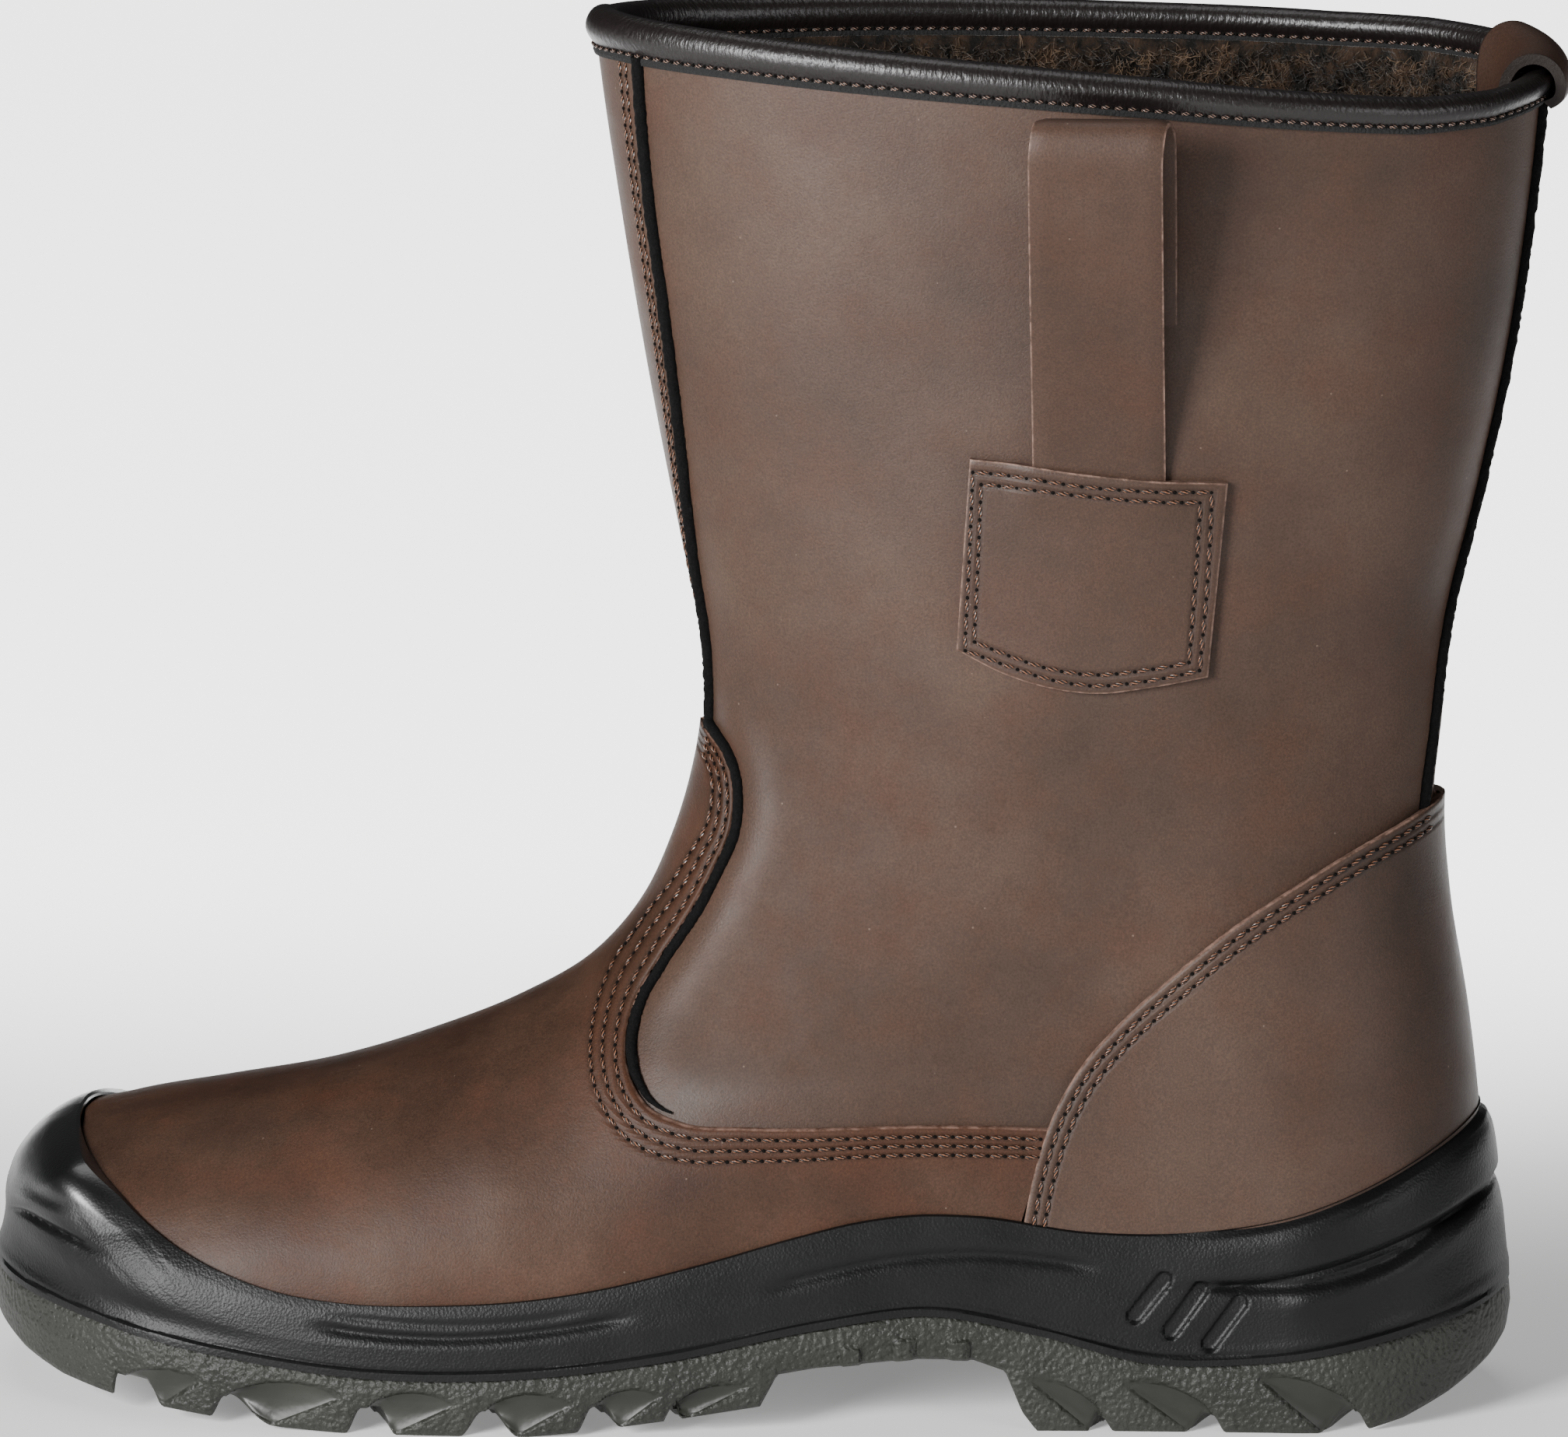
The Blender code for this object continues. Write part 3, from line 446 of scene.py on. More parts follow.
def normals(x, z, side, grow, step=0.4):
    """Outward directions of the leather's surface at side-view places."""
    slope_x = surface(x + step, z, side, grow, True) - surface(x - step, z, side, grow, True)
    slope_z = surface(x, z + step, side, grow, True) - surface(x, z - step, side, grow, True)
    return unit(np.stack([-slope_x, np.full(np.shape(x), 2.0 * step), -slope_z], -1) * side)


def on_leather(flat, side, grow):
    """Points and outward directions of a side-view line laid on the leather."""
    x, z = flat[:, 0], flat[:, 1]
    y = surface(x, z, side, grow, True)
    return np.stack([x, y, z], -1), normals(x, z, side, grow)


def sewn_mark(rows, x, z, reach=1.1):
    """How near side-view places are to rows of stitches: 1 on a row, 0 beyond reach."""
    total = np.zeros(np.shape(x))
    for row in rows:
        total = np.maximum(total, 1.0 - ease(away_from(row, x, z)[0] / reach))
    return total


vamp_insets = [np.interp(run_of(VAMP_LINE), VAMP_ROWS[:, 0], VAMP_ROWS[:, k]) for k in (1, 2, 3)]
vamp_rows = [smooth(beside(VAMP_LINE, -inset)[::6], 300) for inset in vamp_insets]
counter_rows = [smooth(beside(COUNTER_LINE, away)[::6], 240) for away in COUNTER_ROWS]
patch_rows = [smooth(rows, 60) for rows in PATCH_SEWN]


# Meshes
def quads(rows, columns, wrap_rows=False, wrap_columns=False):
    """Faces of a grid of points, rows by columns."""
    r = np.arange(rows if wrap_rows else rows - 1)[:, None]
    c = np.arange(columns if wrap_columns else columns - 1)[None, :]
    a = r * columns + c
    b = r * columns + (c + 1) % columns
    d = ((r + 1) % rows) * columns + c
    e = ((r + 1) % rows) * columns + (c + 1) % columns
    return np.stack([a, b, e, d], -1).reshape(-1, 4)


def strip_ends(count, base):
    """Faces that close a ring straight across from outer to inner side."""
    faces = []
    for c in range(count // 2):
        strip = [c, (count - c) % count, count - c - 1, c + 1]
        faces.append([base + v for v in dict.fromkeys(strip)])
    return faces


def stacked_faces(rows, count):
    """Faces of stacked rings, closed straight across at the first ring and the last."""
    faces = quads(rows, count, wrap_columns=True).tolist()
    return faces + [f[::-1] for f in strip_ends(count, 0)] + strip_ends(count, (rows - 1) * count)


def swept_faces(rows, count):
    """Faces of a closed section swept along a line, with both ends filled."""
    last = (rows - 1) * count
    ends = [list(range(count))[::-1], list(range(last, last + count))]
    return quads(rows, count, wrap_columns=True).tolist() + ends


def piece(name, points, faces, look, marks=None, sharp=SMOOTH_ANGLE):
    """Mesh object in metres in the boot's frame, faces outward, with named values on its points."""
    points = np.asarray(points, float).reshape(-1, 3)
    faces = [tuple(int(v) for v in f) for f in faces]
    fans = np.array([(f[0], f[i], f[i + 1]) for f in faces for i in range(1, len(f) - 1)])
    a, b, c = (points[fans[:, k]] - points.mean(0) for k in range(3))
    if (a * np.cross(b, c)).sum() < 0.0:
        faces = [f[::-1] for f in faces]
    mesh = bpy.data.meshes.new(name)
    mesh.from_pydata(((points - ORIGIN) * MM).tolist(), [], faces)
    mesh.validate()
    for label, values in (marks or {}).items():
        layer = mesh.attributes.new(label, "FLOAT", "POINT")
        layer.data.foreach_set("value", np.ravel(values).astype(np.float32))
    mesh.polygons.foreach_set("use_smooth", np.ones(len(mesh.polygons), bool))
    mesh.set_sharp_from_angle(angle=math.radians(sharp))
    mesh.materials.append(look)
    return shown(name, mesh)


def shown(name, data):
    """Object for a mesh, lamp or camera, in the scene."""
    made = bpy.data.objects.new(name, data)
    bpy.context.scene.collection.objects.link(made)
    return made


def welded(name, points, faces, look, marks, sharp=SMOOTH_ANGLE):
    """Piece whose coinciding points are joined."""
    _, first, same = np.unique(np.round(points, 4), axis=0, return_index=True, return_inverse=True)
    faces = [list(dict.fromkeys(np.ravel(same)[list(f)].tolist())) for f in faces]
    faces = [f for f in faces if len(f) > 2]
    marks = {key: values[first] for key, values in marks.items()}
    return piece(name, points[first], faces, look, marks, sharp)


def shell(name, outer, inner, look, marks):
    """Closed piece between two grids of points, with walls round the border."""
    rows, columns = outer.shape[:2]
    count = rows * columns
    index = np.arange(count).reshape(rows, columns)
    border = np.concatenate([index[0, :-1], index[:-1, -1], index[-1, :0:-1], index[:0:-1, 0]])
    ahead = np.roll(border, -1)
    walls = np.stack([ahead, border, border + count, ahead + count], 1)
    face = quads(rows, columns)
    faces = np.concatenate([face, face[:, ::-1] + count, walls])
    points = np.concatenate([outer.reshape(-1, 3), inner.reshape(-1, 3)])
    both = {key: np.concatenate([np.ravel(a), np.ravel(b)]) for key, (a, b) in marks.items()}
    return piece(name, points, faces, look, both)


def place(made, slot, *nodes):
    """Fix a finished piece to the boot in place of its CAD nodes."""
    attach(made, "root")
    if nodes:
        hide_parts(*nodes)


# Materials
def linear(code):
    """Linear colour of an sRGB hex value."""
    parts = [int(code[i:i + 2], 16) / 255.0 for i in (1, 3, 5)]
    return (*[p / 12.92 if p <= 0.04045 else ((p + 0.055) / 1.055) ** 2.4 for p in parts], 1.0)


def node(tree, kind, inputs=None, **settings):
    """Add a node with its settings; an input is a value or another node's output."""
    made = tree.nodes.new(kind)
    for name, value in settings.items():
        setattr(made, name, value)
    for key, value in (inputs or {}).items():
        if isinstance(value, bpy.types.NodeSocket):
            tree.links.new(value, made.inputs[key])
        else:
            made.inputs[key].default_value = value
    return made


def blank(name, **sockets):
    """New Principled material, its tree, shader and Object coordinates."""
    made = bpy.data.materials.new(name)
    made.use_nodes = True
    tree = made.node_tree
    shader = tree.nodes["Principled BSDF"]
    for key, value in sockets.items():
        shader.inputs[key.replace("_", " ")].default_value = value
    spot = node(tree, "ShaderNodeTexCoord").outputs["Object"]
    return made, tree, shader, spot


def per(size_mm):
    """Texture scale whose features are about this many millimetres."""
    return 1.0 / (size_mm * MM)


def leather(name, dark, mid, light, red, rough=0.5, raw="#84695d", warm=0.0, fray=0.85, shine=0.3):
    """Oiled cowhide: soft brown clouds with reddish blotches, satin gloss, fine grain, pale raw cut edges, painted
    shade towards the ridge line and along the stitch rows.
    """
    made, tree, shader, spot = blank(name, Specular_IOR_Level=shine)
    edge = node(tree, "ShaderNodeAttribute", attribute_name="edge").outputs["Fac"]
    sewn = node(tree, "ShaderNodeAttribute", attribute_name="sewn").outputs["Fac"]
    ridge_shade = node(tree, "ShaderNodeAttribute", attribute_name="ridge_shade").outputs["Fac"]
    matt = node(tree, "ShaderNodeAttribute", attribute_name="matt").outputs["Fac"]
    cloud = node(tree, "ShaderNodeTexNoise", {"Vector": spot, "Scale": per(50.0), "Detail": 6.0,
                 "Roughness": 0.6})
    blotch = node(tree, "ShaderNodeTexNoise", {"Vector": spot, "Scale": per(20.0), "Detail": 9.0,
                  "Roughness": 0.72})
    grain = node(tree, "ShaderNodeTexNoise", {"Vector": spot, "Scale": per(0.45), "Detail": 2.0,
                 "Roughness": 0.6})
    speck = node(tree, "ShaderNodeTexVoronoi", {"Vector": spot, "Scale": per(7.5), "Randomness": 1.0})
    tone = node(tree, "ShaderNodeValToRGB", {"Fac": cloud.outputs["Fac"]})
    ramp = tone.color_ramp
    ramp.elements[0].position, ramp.elements[0].color = 0.30, linear(dark)
    ramp.elements[1].position, ramp.elements[1].color = 0.66, linear(light)
    ramp.elements.new(0.5).color = linear(mid)
    share = node(tree, "ShaderNodeMapRange", {"Value": blotch.outputs["Fac"], "From Min": 0.46,
                 "From Max": 0.72,
                                              "To Max": 0.6})
    colour = node(tree, "ShaderNodeMix", {0: share.outputs[0], 6: tone.outputs[0], 7: linear(red)},
                  data_type="RGBA")
    share = node(tree, "ShaderNodeMapRange", {"Value": edge, "From Min": 6.0, "From Max": 10.0,
                 "To Min": warm,
                                              "To Max": 0.0})
    colour = node(tree, "ShaderNodeMix", {0: share.outputs[0], 6: colour.outputs[2], 7: linear("#4e2d1a")},
                  data_type="RGBA")
    # Painted shade: the leather is darkened towards the ridge line, where it turns away from the lamps, in blotches
    patchy = node(tree, "ShaderNodeMapRange", {"Value": blotch.outputs["Fac"], "From Min": 0.35,
                  "From Max": 0.65,
                                               "To Min": 0.5, "To Max": 0.12})
    share = node(tree, "ShaderNodeMath", {0: ridge_shade, 1: patchy.outputs[0]}, operation="MULTIPLY")
    colour = node(tree, "ShaderNodeMix", {0: share.outputs[0], 6: colour.outputs[2], 7: linear("#1d120c")},
                  data_type="RGBA")
    share = node(tree, "ShaderNodeMapRange", {"Value": grain.outputs["Fac"], "From Min": 0.3, "From Max": 0.7,
                                              "To Min": 0.75, "To Max": 1.25})
    # Painted shade: the colour is darkened by up to half along the stitch rows, where the sewn grooves lie
    shade = node(tree, "ShaderNodeMapRange", {"Value": sewn, "To Min": 1.0, "To Max": 0.5})
    share = node(tree, "ShaderNodeMath", {0: share.outputs[0], 1: shade.outputs[0]}, operation="MULTIPLY")
    colour = node(tree, "ShaderNodeVectorMath", {0: colour.outputs[2], "Scale": share.outputs[0]},
                  operation="SCALE")
    share = node(tree, "ShaderNodeMapRange", {"Value": speck.outputs["Distance"], "From Min": 0.02,
                 "From Max": 0.035,
                                              "To Min": 0.3, "To Max": 0.0})
    colour = node(tree, "ShaderNodeMix", {0: share.outputs[0], 6: colour.outputs[0], 7: linear("#8f7c70")},
                  data_type="RGBA")
    share = node(tree, "ShaderNodeMapRange", {"Value": edge, "From Min": 0.08, "From Max": 0.42,
                 "To Min": 1.0,
                                              "To Max": 0.0})
    torn = node(tree, "ShaderNodeTexNoise", {"Vector": spot, "Scale": per(2.2), "Detail": 4.0,
                "Roughness": 0.7})
    torn = node(tree, "ShaderNodeMapRange", {"Value": torn.outputs["Fac"], "From Min": 0.4, "From Max": 0.62,
                                             "To Min": 1.0 - fray, "To Max": 0.9})
    share = node(tree, "ShaderNodeMath", {0: share.outputs[0], 1: torn.outputs[0]}, operation="MULTIPLY")
    colour = node(tree, "ShaderNodeMix", {0: share.outputs[0], 6: colour.outputs[2], 7: linear(raw)},
                  data_type="RGBA")
    tree.links.new(colour.outputs[2], shader.inputs["Base Color"])
    gloss = node(tree, "ShaderNodeMapRange", {"Value": blotch.outputs["Fac"], "From Min": 0.3,
                 "From Max": 0.7,
                                              "To Min": rough - 0.05, "To Max": rough + 0.07})
    gloss = node(tree, "ShaderNodeMath", {0: matt, 1: 0.24, 2: gloss.outputs[0]}, operation="MULTIPLY_ADD")
    tree.links.new(gloss.outputs[0], shader.inputs["Roughness"])
    height = node(tree, "ShaderNodeMath", {0: sewn, 1: -3.2, 2: grain.outputs["Fac"]},
                  operation="MULTIPLY_ADD")
    swell = node(tree, "ShaderNodeBump", {"Height": cloud.outputs["Fac"], "Strength": 0.12,
                 "Distance": 0.003})
    bump = node(tree, "ShaderNodeBump", {"Height": height.outputs[0], "Strength": 0.5, "Distance": 0.00014,
                                         "Normal": swell.outputs[0]})
    tree.links.new(bump.outputs[0], shader.inputs["Normal"])
    return made


def moulded(name, low, high, grain_mm, strength, rough, mark_name, keep_grain, slick, shine, coat):
    """Moulded foam or rubber: near-even colour, pebbled skin, smoother where scooped or rubbed."""
    made, tree, shader, spot = blank(name, Specular_IOR_Level=shine, Coat_Roughness=0.27)
    cloud = node(tree, "ShaderNodeTexNoise", {"Vector": spot, "Scale": per(22.0), "Detail": 6.0,
                 "Roughness": 0.6})
    pebble = node(tree, "ShaderNodeTexVoronoi", {"Vector": spot, "Scale": per(grain_mm)}, feature="SMOOTH_F1")
    fine = node(tree, "ShaderNodeTexNoise", {"Vector": spot, "Scale": per(grain_mm * 0.5), "Detail": 3.0})
    share = node(tree, "ShaderNodeMapRange", {"Value": cloud.outputs["Fac"], "From Min": 0.35,
                 "From Max": 0.68})
    colour = node(tree, "ShaderNodeMix", {0: share.outputs[0], 6: linear(low), 7: linear(high)},
                  data_type="RGBA")
    tree.links.new(colour.outputs[2], shader.inputs["Base Color"])
    height = node(tree, "ShaderNodeMath", {0: fine.outputs["Fac"], 1: 0.5, 2: pebble.outputs["Distance"]},
                  operation="MULTIPLY_ADD")
    mark = node(tree, "ShaderNodeAttribute", attribute_name=mark_name).outputs["Fac"]
    keep = node(tree, "ShaderNodeMapRange", {"Value": mark, "From Max": 0.4, "To Min": 1.0,
                "To Max": keep_grain})
    height = node(tree, "ShaderNodeMath", {0: height.outputs[0], 1: keep.outputs[0]}, operation="MULTIPLY")
    gloss = node(tree, "ShaderNodeMapRange", {"Value": cloud.outputs["Fac"], "From Min": 0.3, "From Max": 0.7,
                                              "To Min": rough - 0.05, "To Max": rough + 0.07})
    polish = node(tree, "ShaderNodeMapRange", {"Value": mark, "From Max": 0.6, "To Max": coat})
    tree.links.new(polish.outputs[0], shader.inputs["Coat Weight"])
    rubbed = node(tree, "ShaderNodeMapRange", {"Value": mark, "From Max": 0.4, "To Max": slick})
    gloss = node(tree, "ShaderNodeMath", {0: gloss.outputs[0], 1: rubbed.outputs[0]}, operation="ADD")
    tree.links.new(gloss.outputs[0], shader.inputs["Roughness"])
    bump = node(tree, "ShaderNodeBump", {"Height": height.outputs[0], "Strength": strength,
                                         "Distance": grain_mm * 0.5 * MM})
    tree.links.new(bump.outputs[0], shader.inputs["Normal"])
    return made


def fibre(name, low, high, size_mm, strength, sheen, rough=0.9, twisted=False):
    """Felt, pile or thread: matt or silky, its colour broken up in patches by its fibres or in bands along the
    twist of the yarn; the bands are painted glints and shade, the fleece's patches partly painted light and shade.
    """
    made, tree, shader, spot = blank(name, Roughness=rough, Specular_IOR_Level=0.5 if rough < 0.6 else 0.15,
                                     Sheen_Weight=sheen, Sheen_Roughness=0.5)
    fuzz = node(tree, "ShaderNodeTexNoise", {"Vector": spot, "Scale": per(size_mm), "Detail": 4.0,
                "Roughness": 0.7})
    # Painted glints: light bands along the twist stand for the shine on the strands, dark bands for the shade
    # between them
    if twisted:
        laid = node(tree, "ShaderNodeUVMap", uv_map="UVMap")
        fuzz = node(tree, "ShaderNodeTexWave", {"Vector": laid.outputs[0], "Scale": 1.88, "Distortion": 0.6},
                    bands_direction="DIAGONAL")
    share = node(tree, "ShaderNodeMapRange", {"Value": fuzz.outputs["Fac"],
                 "From Min": 0.5 if twisted else 0.4,
                                              "From Max": 0.85 if twisted else 0.62})
    colour = node(tree, "ShaderNodeMix", {0: share.outputs[0], 6: linear(low), 7: linear(high)},
                  data_type="RGBA")
    tree.links.new(colour.outputs[2], shader.inputs["Base Color"])
    bump = node(tree, "ShaderNodeBump", {"Height": fuzz.outputs["Fac"], "Strength": strength,
                                         "Distance": size_mm * 0.6 * MM})
    tree.links.new(bump.outputs[0], shader.inputs["Normal"])
    return made


def padded_leather(name, low, high):
    """Black binding leather: glossy, fine wrinkles across the roll, a rough cut flange below the seam."""
    made, tree, shader, spot = blank(name, Specular_IOR_Level=0.5)
    run = node(tree, "ShaderNodeAttribute", attribute_name="run").outputs["Fac"]
    turn = node(tree, "ShaderNodeAttribute", attribute_name="turn").outputs["Fac"]
    flange = node(tree, "ShaderNodeAttribute", attribute_name="flange").outputs["Fac"]
    wide = node(tree, "ShaderNodeMath", {0: run, 1: 1.0 / 0.8}, operation="MULTIPLY")
    tall = node(tree, "ShaderNodeMath", {0: turn, 1: 1.0 / 2.2}, operation="MULTIPLY")
    laid = node(tree, "ShaderNodeCombineXYZ", {0: wide.outputs[0], 1: tall.outputs[0]})
    wrinkle = node(tree, "ShaderNodeTexNoise", {"Vector": laid.outputs[0], "Scale": 1.0, "Detail": 3.0})
    grain = node(tree, "ShaderNodeTexNoise", {"Vector": spot, "Scale": per(0.7), "Detail": 3.0})
    colour = node(tree, "ShaderNodeMix", {0: wrinkle.outputs["Fac"], 6: linear(low), 7: linear(high)},
                  data_type="RGBA")
    colour = node(tree, "ShaderNodeMix", {0: flange, 6: colour.outputs[2], 7: linear("#070606")},
                  data_type="RGBA")
    tree.links.new(colour.outputs[2], shader.inputs["Base Color"])
    gloss = node(tree, "ShaderNodeMapRange", {"Value": flange, "To Min": 0.36, "To Max": 0.85})
    tree.links.new(gloss.outputs[0], shader.inputs["Roughness"])
    rough = node(tree, "ShaderNodeMapRange", {"Value": flange, "To Min": 0.1, "To Max": 1.0})
    swell = node(tree, "ShaderNodeBump", {"Height": wrinkle.outputs["Fac"], "Strength": 0.5,
                 "Distance": 0.00045})
    bump = node(tree, "ShaderNodeBump", {"Height": grain.outputs["Fac"], "Strength": rough.outputs[0],
                "Distance": 0.0006,
                                         "Normal": swell.outputs[0]})
    tree.links.new(bump.outputs[0], shader.inputs["Normal"])
    return made


shaft_leather = leather("oiled shaft leather", "#33251c", "#3f2e25", "#47362c", "#432a1e")
vamp_leather = leather("oiled vamp leather", "#301e16", "#3c291f", "#483429", "#46291a", warm=0.2, shine=0.2)
counter_leather = leather("oiled counter leather", "#34251c", "#402f26", "#46352b", "#422a1e")
patch_leather = leather("oiled patch leather", "#34251b", "#3e2c23", "#44332a", "#41291d")
strap_leather = leather("strap leather", "#33241b", "#3e2c23", "#44332a", "#41291d", 0.52)
loop_leather = leather("loop leather", "#2a1c15", "#34241c", "#3a2a22", "#382116", 0.52, "#120a07", fray=0.1)
binding_leather = padded_leather("padded binding leather", "#0d0909", "#1b1414")
felt_cord = fibre("felt piping cord", "#020202", "#0c0a0a", 0.5, 0.8, 0.0)
foam = moulded("moulded polyurethane", "#09090a", "#0f0f0f", 0.5, 0.32, 0.43, "polish", 0.7, -0.1, 0.26, 1.0)
rubber = moulded("moulded rubber", "#20211d", "#2b2c27", 1.1, 1.0, 0.46, "slick", 0.06, -0.06, 0.34, 0.0)
# Fleece colours: the dark patches are partly painted shade between the tufts, the golden ones partly painted light
# on their tips, besides the pile's own tone
pile = fibre("curly fleece pile", "#0a0704", "#33251a", 4.0, 0.9, 0.2)
wool = fibre("golden fleece fibres", "#0f0a07", "#6b543e", 8.0, 0.3, 0.2, 0.6)
felt = fibre("felt footbed", "#3a2e25", "#52463b", 0.9, 0.8, 0.4)
# Thread colours run from painted shade between the strands to painted glints on them
brown_thread = fibre("brown sewing thread", "#150b06", "#7d5540", 0.35, 0.8, 0.0, 0.3, True)
copper_thread = fibre("copper sewing thread", "#120a07", "#836a5e", 0.35, 0.8, 0.0, 0.2, True)
hole_shadow = fibre("needle hole shadow", "#040202", "#090503", 0.4, 0.3, 0.0)


# Upper
UPPER_COLUMNS = 150
FAR_FROM_EDGE = 40.0


def build_upper():
    """One leather shell from the lasted edge to the collar, matt behind the vamp seam."""
    shares = np.concatenate([np.linspace(0.0, 0.2, 10)[:-1], np.linspace(0.2, 1.0, 150)])
    rings = [level(s, 0.0, UPPER_COLUMNS, soft=True) for s in shares]
    rings += [level(s, -WALL, UPPER_COLUMNS) for s in np.linspace(1.0, 0.0, 36)]
    points = np.concatenate(rings)
    behind_seam, _ = nearest(VAMP_LINE, 1.0, points[:, 0], points[:, 2])
    matt = rise(behind_seam, 5.0, 8.0) * fall(points[:, 2], 135.0, 45.0)
    marks = {"edge": np.full(len(points), FAR_FROM_EDGE), "matt": matt}
    faces = quads(len(rings), 2 * UPPER_COLUMNS, True, True)
    upper = piece("leather_upper", points, faces, shaft_leather, marks)
    place(upper, "leather", "upper")


# Vamp and counter overlays
OVERLAY_GAP = 0.12
EDGE_DROP = 0.6
# Width over which painted shade darkens the leather towards the ridge line
RIDGE_SHADE_WIDE = 24.0
RIDGE_RAYS = 200
SOLE_RAYS = 150
RAY_POINTS = 70
VAMP_THICK = 1.75
COUNTER_THICK = 2.25
UNDER_CUP = 1.6
# Vamp: height on the ridge, then x and z of the sewn edge that faces it
VAMP_TO_RIDGE = [
    (138.4, 145.6, 138.4), (124.0, 153.3, 125.0), (107.0, 149.5, 111.5), (93.0, 142.0, 99.5),
    (82.2, 137.4, 92.6), (73.8, 134.2, 85.0), (66.2, 133.8, 79.0), (58.4, 134.5, 74.0),
    (np.interp(17.8, DORSAL_LINE[:180, 0], DORSAL_LINE[:180, 1]), 136.5, 69.8),
]
# Vamp: x and z on the sole's edge, then x and z of the sewn edge that faces it
VAMP_TO_SOLE = [
    (17.6, 52.6, 136.5, 69.8), (75.0, 25.4, 141.0, 65.6), (128.0, 28.6, 150.0, 63.2),
    (213.0, 41.5, 219.0, 62.4),
]
COUNTER_TO_RIDGE = [(125.4, 297.0, 125.4), (92.0, 275.0, 116.0), (56.0, 252.0, 101.5)]
# Counter: share along the sole's edge, then x and z of the sewn edge that faces it
COUNTER_TO_SOLE = [(0.0, 252.0, 101.5), (0.5, 233.0, 84.2), (1.0, 213.8, 41.6)]


def even_rows(values, count):
    """Values read evenly along a short table."""
    return np.interp(np.linspace(0.0, 1.0, count), np.linspace(0.0, 1.0, len(values)), values)


def overlay(name, edge_line, ridge_line, outward, ridge_rows, low_line, low_at, edge_at_low, thick, look,
            sewn_rows):
    """Leather over toe or heel: rays from its sewn edge to the ridge and to the sole, both sides in one."""
    heights, edge_x, edge_z = np.array(ridge_rows, float).T
    to_ridge = place_at(ridge_line, even_rows(heights, RIDGE_RAYS))
    share = even_rows(edge_share(edge_line, edge_x, edge_z), RIDGE_RAYS)
    share = np.concatenate([share, even_rows(edge_at_low, SOLE_RAYS)[1:]])
    start = along_line(edge_line, share)
    pull = (1.0 - np.linspace(0.0, 1.0, SOLE_RAYS)[1:]) ** 8
    t = np.linspace(0.0, 1.0, RAY_POINTS)
    t = 0.35 * t + 0.65 * t * t * (3.0 - 2.0 * t)
    layers = []
    for base in (OVERLAY_GAP + thick, OVERLAY_GAP):
        ridge = profile_point(ridge_line, to_ridge, outward, np.full(RIDGE_RAYS, base))
        low = along_line(low_line, even_rows(low_at, SOLE_RAYS)[1:])
        low = low + pull[:, None] * (ridge[-1] - low_line[0, :2])
        finish = np.concatenate([ridge, low])
        flat = start[None] * (1.0 - t)[:, None, None] + finish[None] * t[:, None, None]
        x, z = flat[..., 0], flat[..., 1]
        edge, _ = away_from(edge_line, x, z)
        edge[0] = 0.0
        grow = np.full(x.shape, base)
        if not layers:
            grow = grow - EDGE_DROP * (1.0 - lobe(edge, 2.0))
        tips = profile_point(ridge_line, to_ridge, outward, grow[-1, :RIDGE_RAYS])
        x[-1, :RIDGE_RAYS], z[-1, :RIDGE_RAYS] = tips[:, 0], tips[:, 1]
        halves = []
        for side in (LATERAL, MEDIAL):
            y = surface(x, z, side, grow, soft=True)
            y[-1, :RIDGE_RAYS] = middle_of(x[-1, :RIDGE_RAYS], z[-1, :RIDGE_RAYS])
            halves.append(np.stack([x, y, z], -1).reshape(-1, 3))
        layers.append((halves, edge, x, z))
    (top_halves, edge, x, z), (low_halves, *_) = layers
    count = x.size
    face = quads(*x.shape)
    index = np.arange(count).reshape(x.shape)
    border = np.concatenate([index[-1, RIDGE_RAYS - 1:-1], index[:0:-1, -1], index[0, :0:-1], index[:, 0]])
    walls = np.stack([border[:-1], border[1:], border[1:] + count, border[:-1] + count], 1)
    block = np.concatenate([face, face[:, ::-1] + count, walls])
    faces = np.concatenate([block, (block + 2 * count)[:, ::-1]])
    points = np.concatenate([top_halves[0], low_halves[0], top_halves[1], low_halves[1]])
    # Painted shade: 1 on the ridge line, fading out over the set width
    ridge_away, _ = nearest(ridge_line, -outward, np.ravel(x), np.ravel(z))
    ridge_shade = 1.0 - ease(ridge_away / RIDGE_SHADE_WIDE)
    tops = {"edge": edge, "sewn": sewn_mark(sewn_rows, x, z), "ridge_shade": ridge_shade}
    unders = {"edge": -1.0, "sewn": 0.0, "ridge_shade": 0.0}
    marks = {key: np.concatenate([np.ravel(tops[key]), np.full(count, unders[key])] * 2) for key in tops}
    return welded(name, points, faces, look, marks)


def build_vamp():
    """Vamp from the toe to the instep, with wings back to the counter."""
    sole_edge = CUP_LINE[CUP_LINE[:, 0] < 213.0] - (0.0, UNDER_CUP)
    low_x, low_z, edge_x, edge_z = np.array(VAMP_TO_SOLE).T
    vamp = overlay("vamp_overlay", VAMP_LINE, DORSAL_LINE, 1.0, VAMP_TO_RIDGE, sole_edge,
                   edge_share(sole_edge, low_x, low_z), edge_share(VAMP_LINE, edge_x, edge_z), VAMP_THICK,
                   vamp_leather, vamp_rows)
    place(vamp, "leather", "vamp")


def build_counter():
    """Counter round the heel."""
    sole_edge = CUP_LINE[CUP_LINE[:, 0] > 213.9][::-1] - (0.0, UNDER_CUP)
    sewn_edge = COUNTER_LINE[COUNTER_LINE[:, 1] > 41.5]
    low_at, edge_x, edge_z = np.array(COUNTER_TO_SOLE).T
    counter = overlay("heel_counter_overlay", sewn_edge, BACK_LINE, -1.0, COUNTER_TO_RIDGE, sole_edge,
                      low_at, edge_share(sewn_edge, edge_x, edge_z), COUNTER_THICK, counter_leather,
                      counter_rows)
    place(counter, "leather", "heel_counter")


# Collar binding
BINDING_COLUMNS = 180


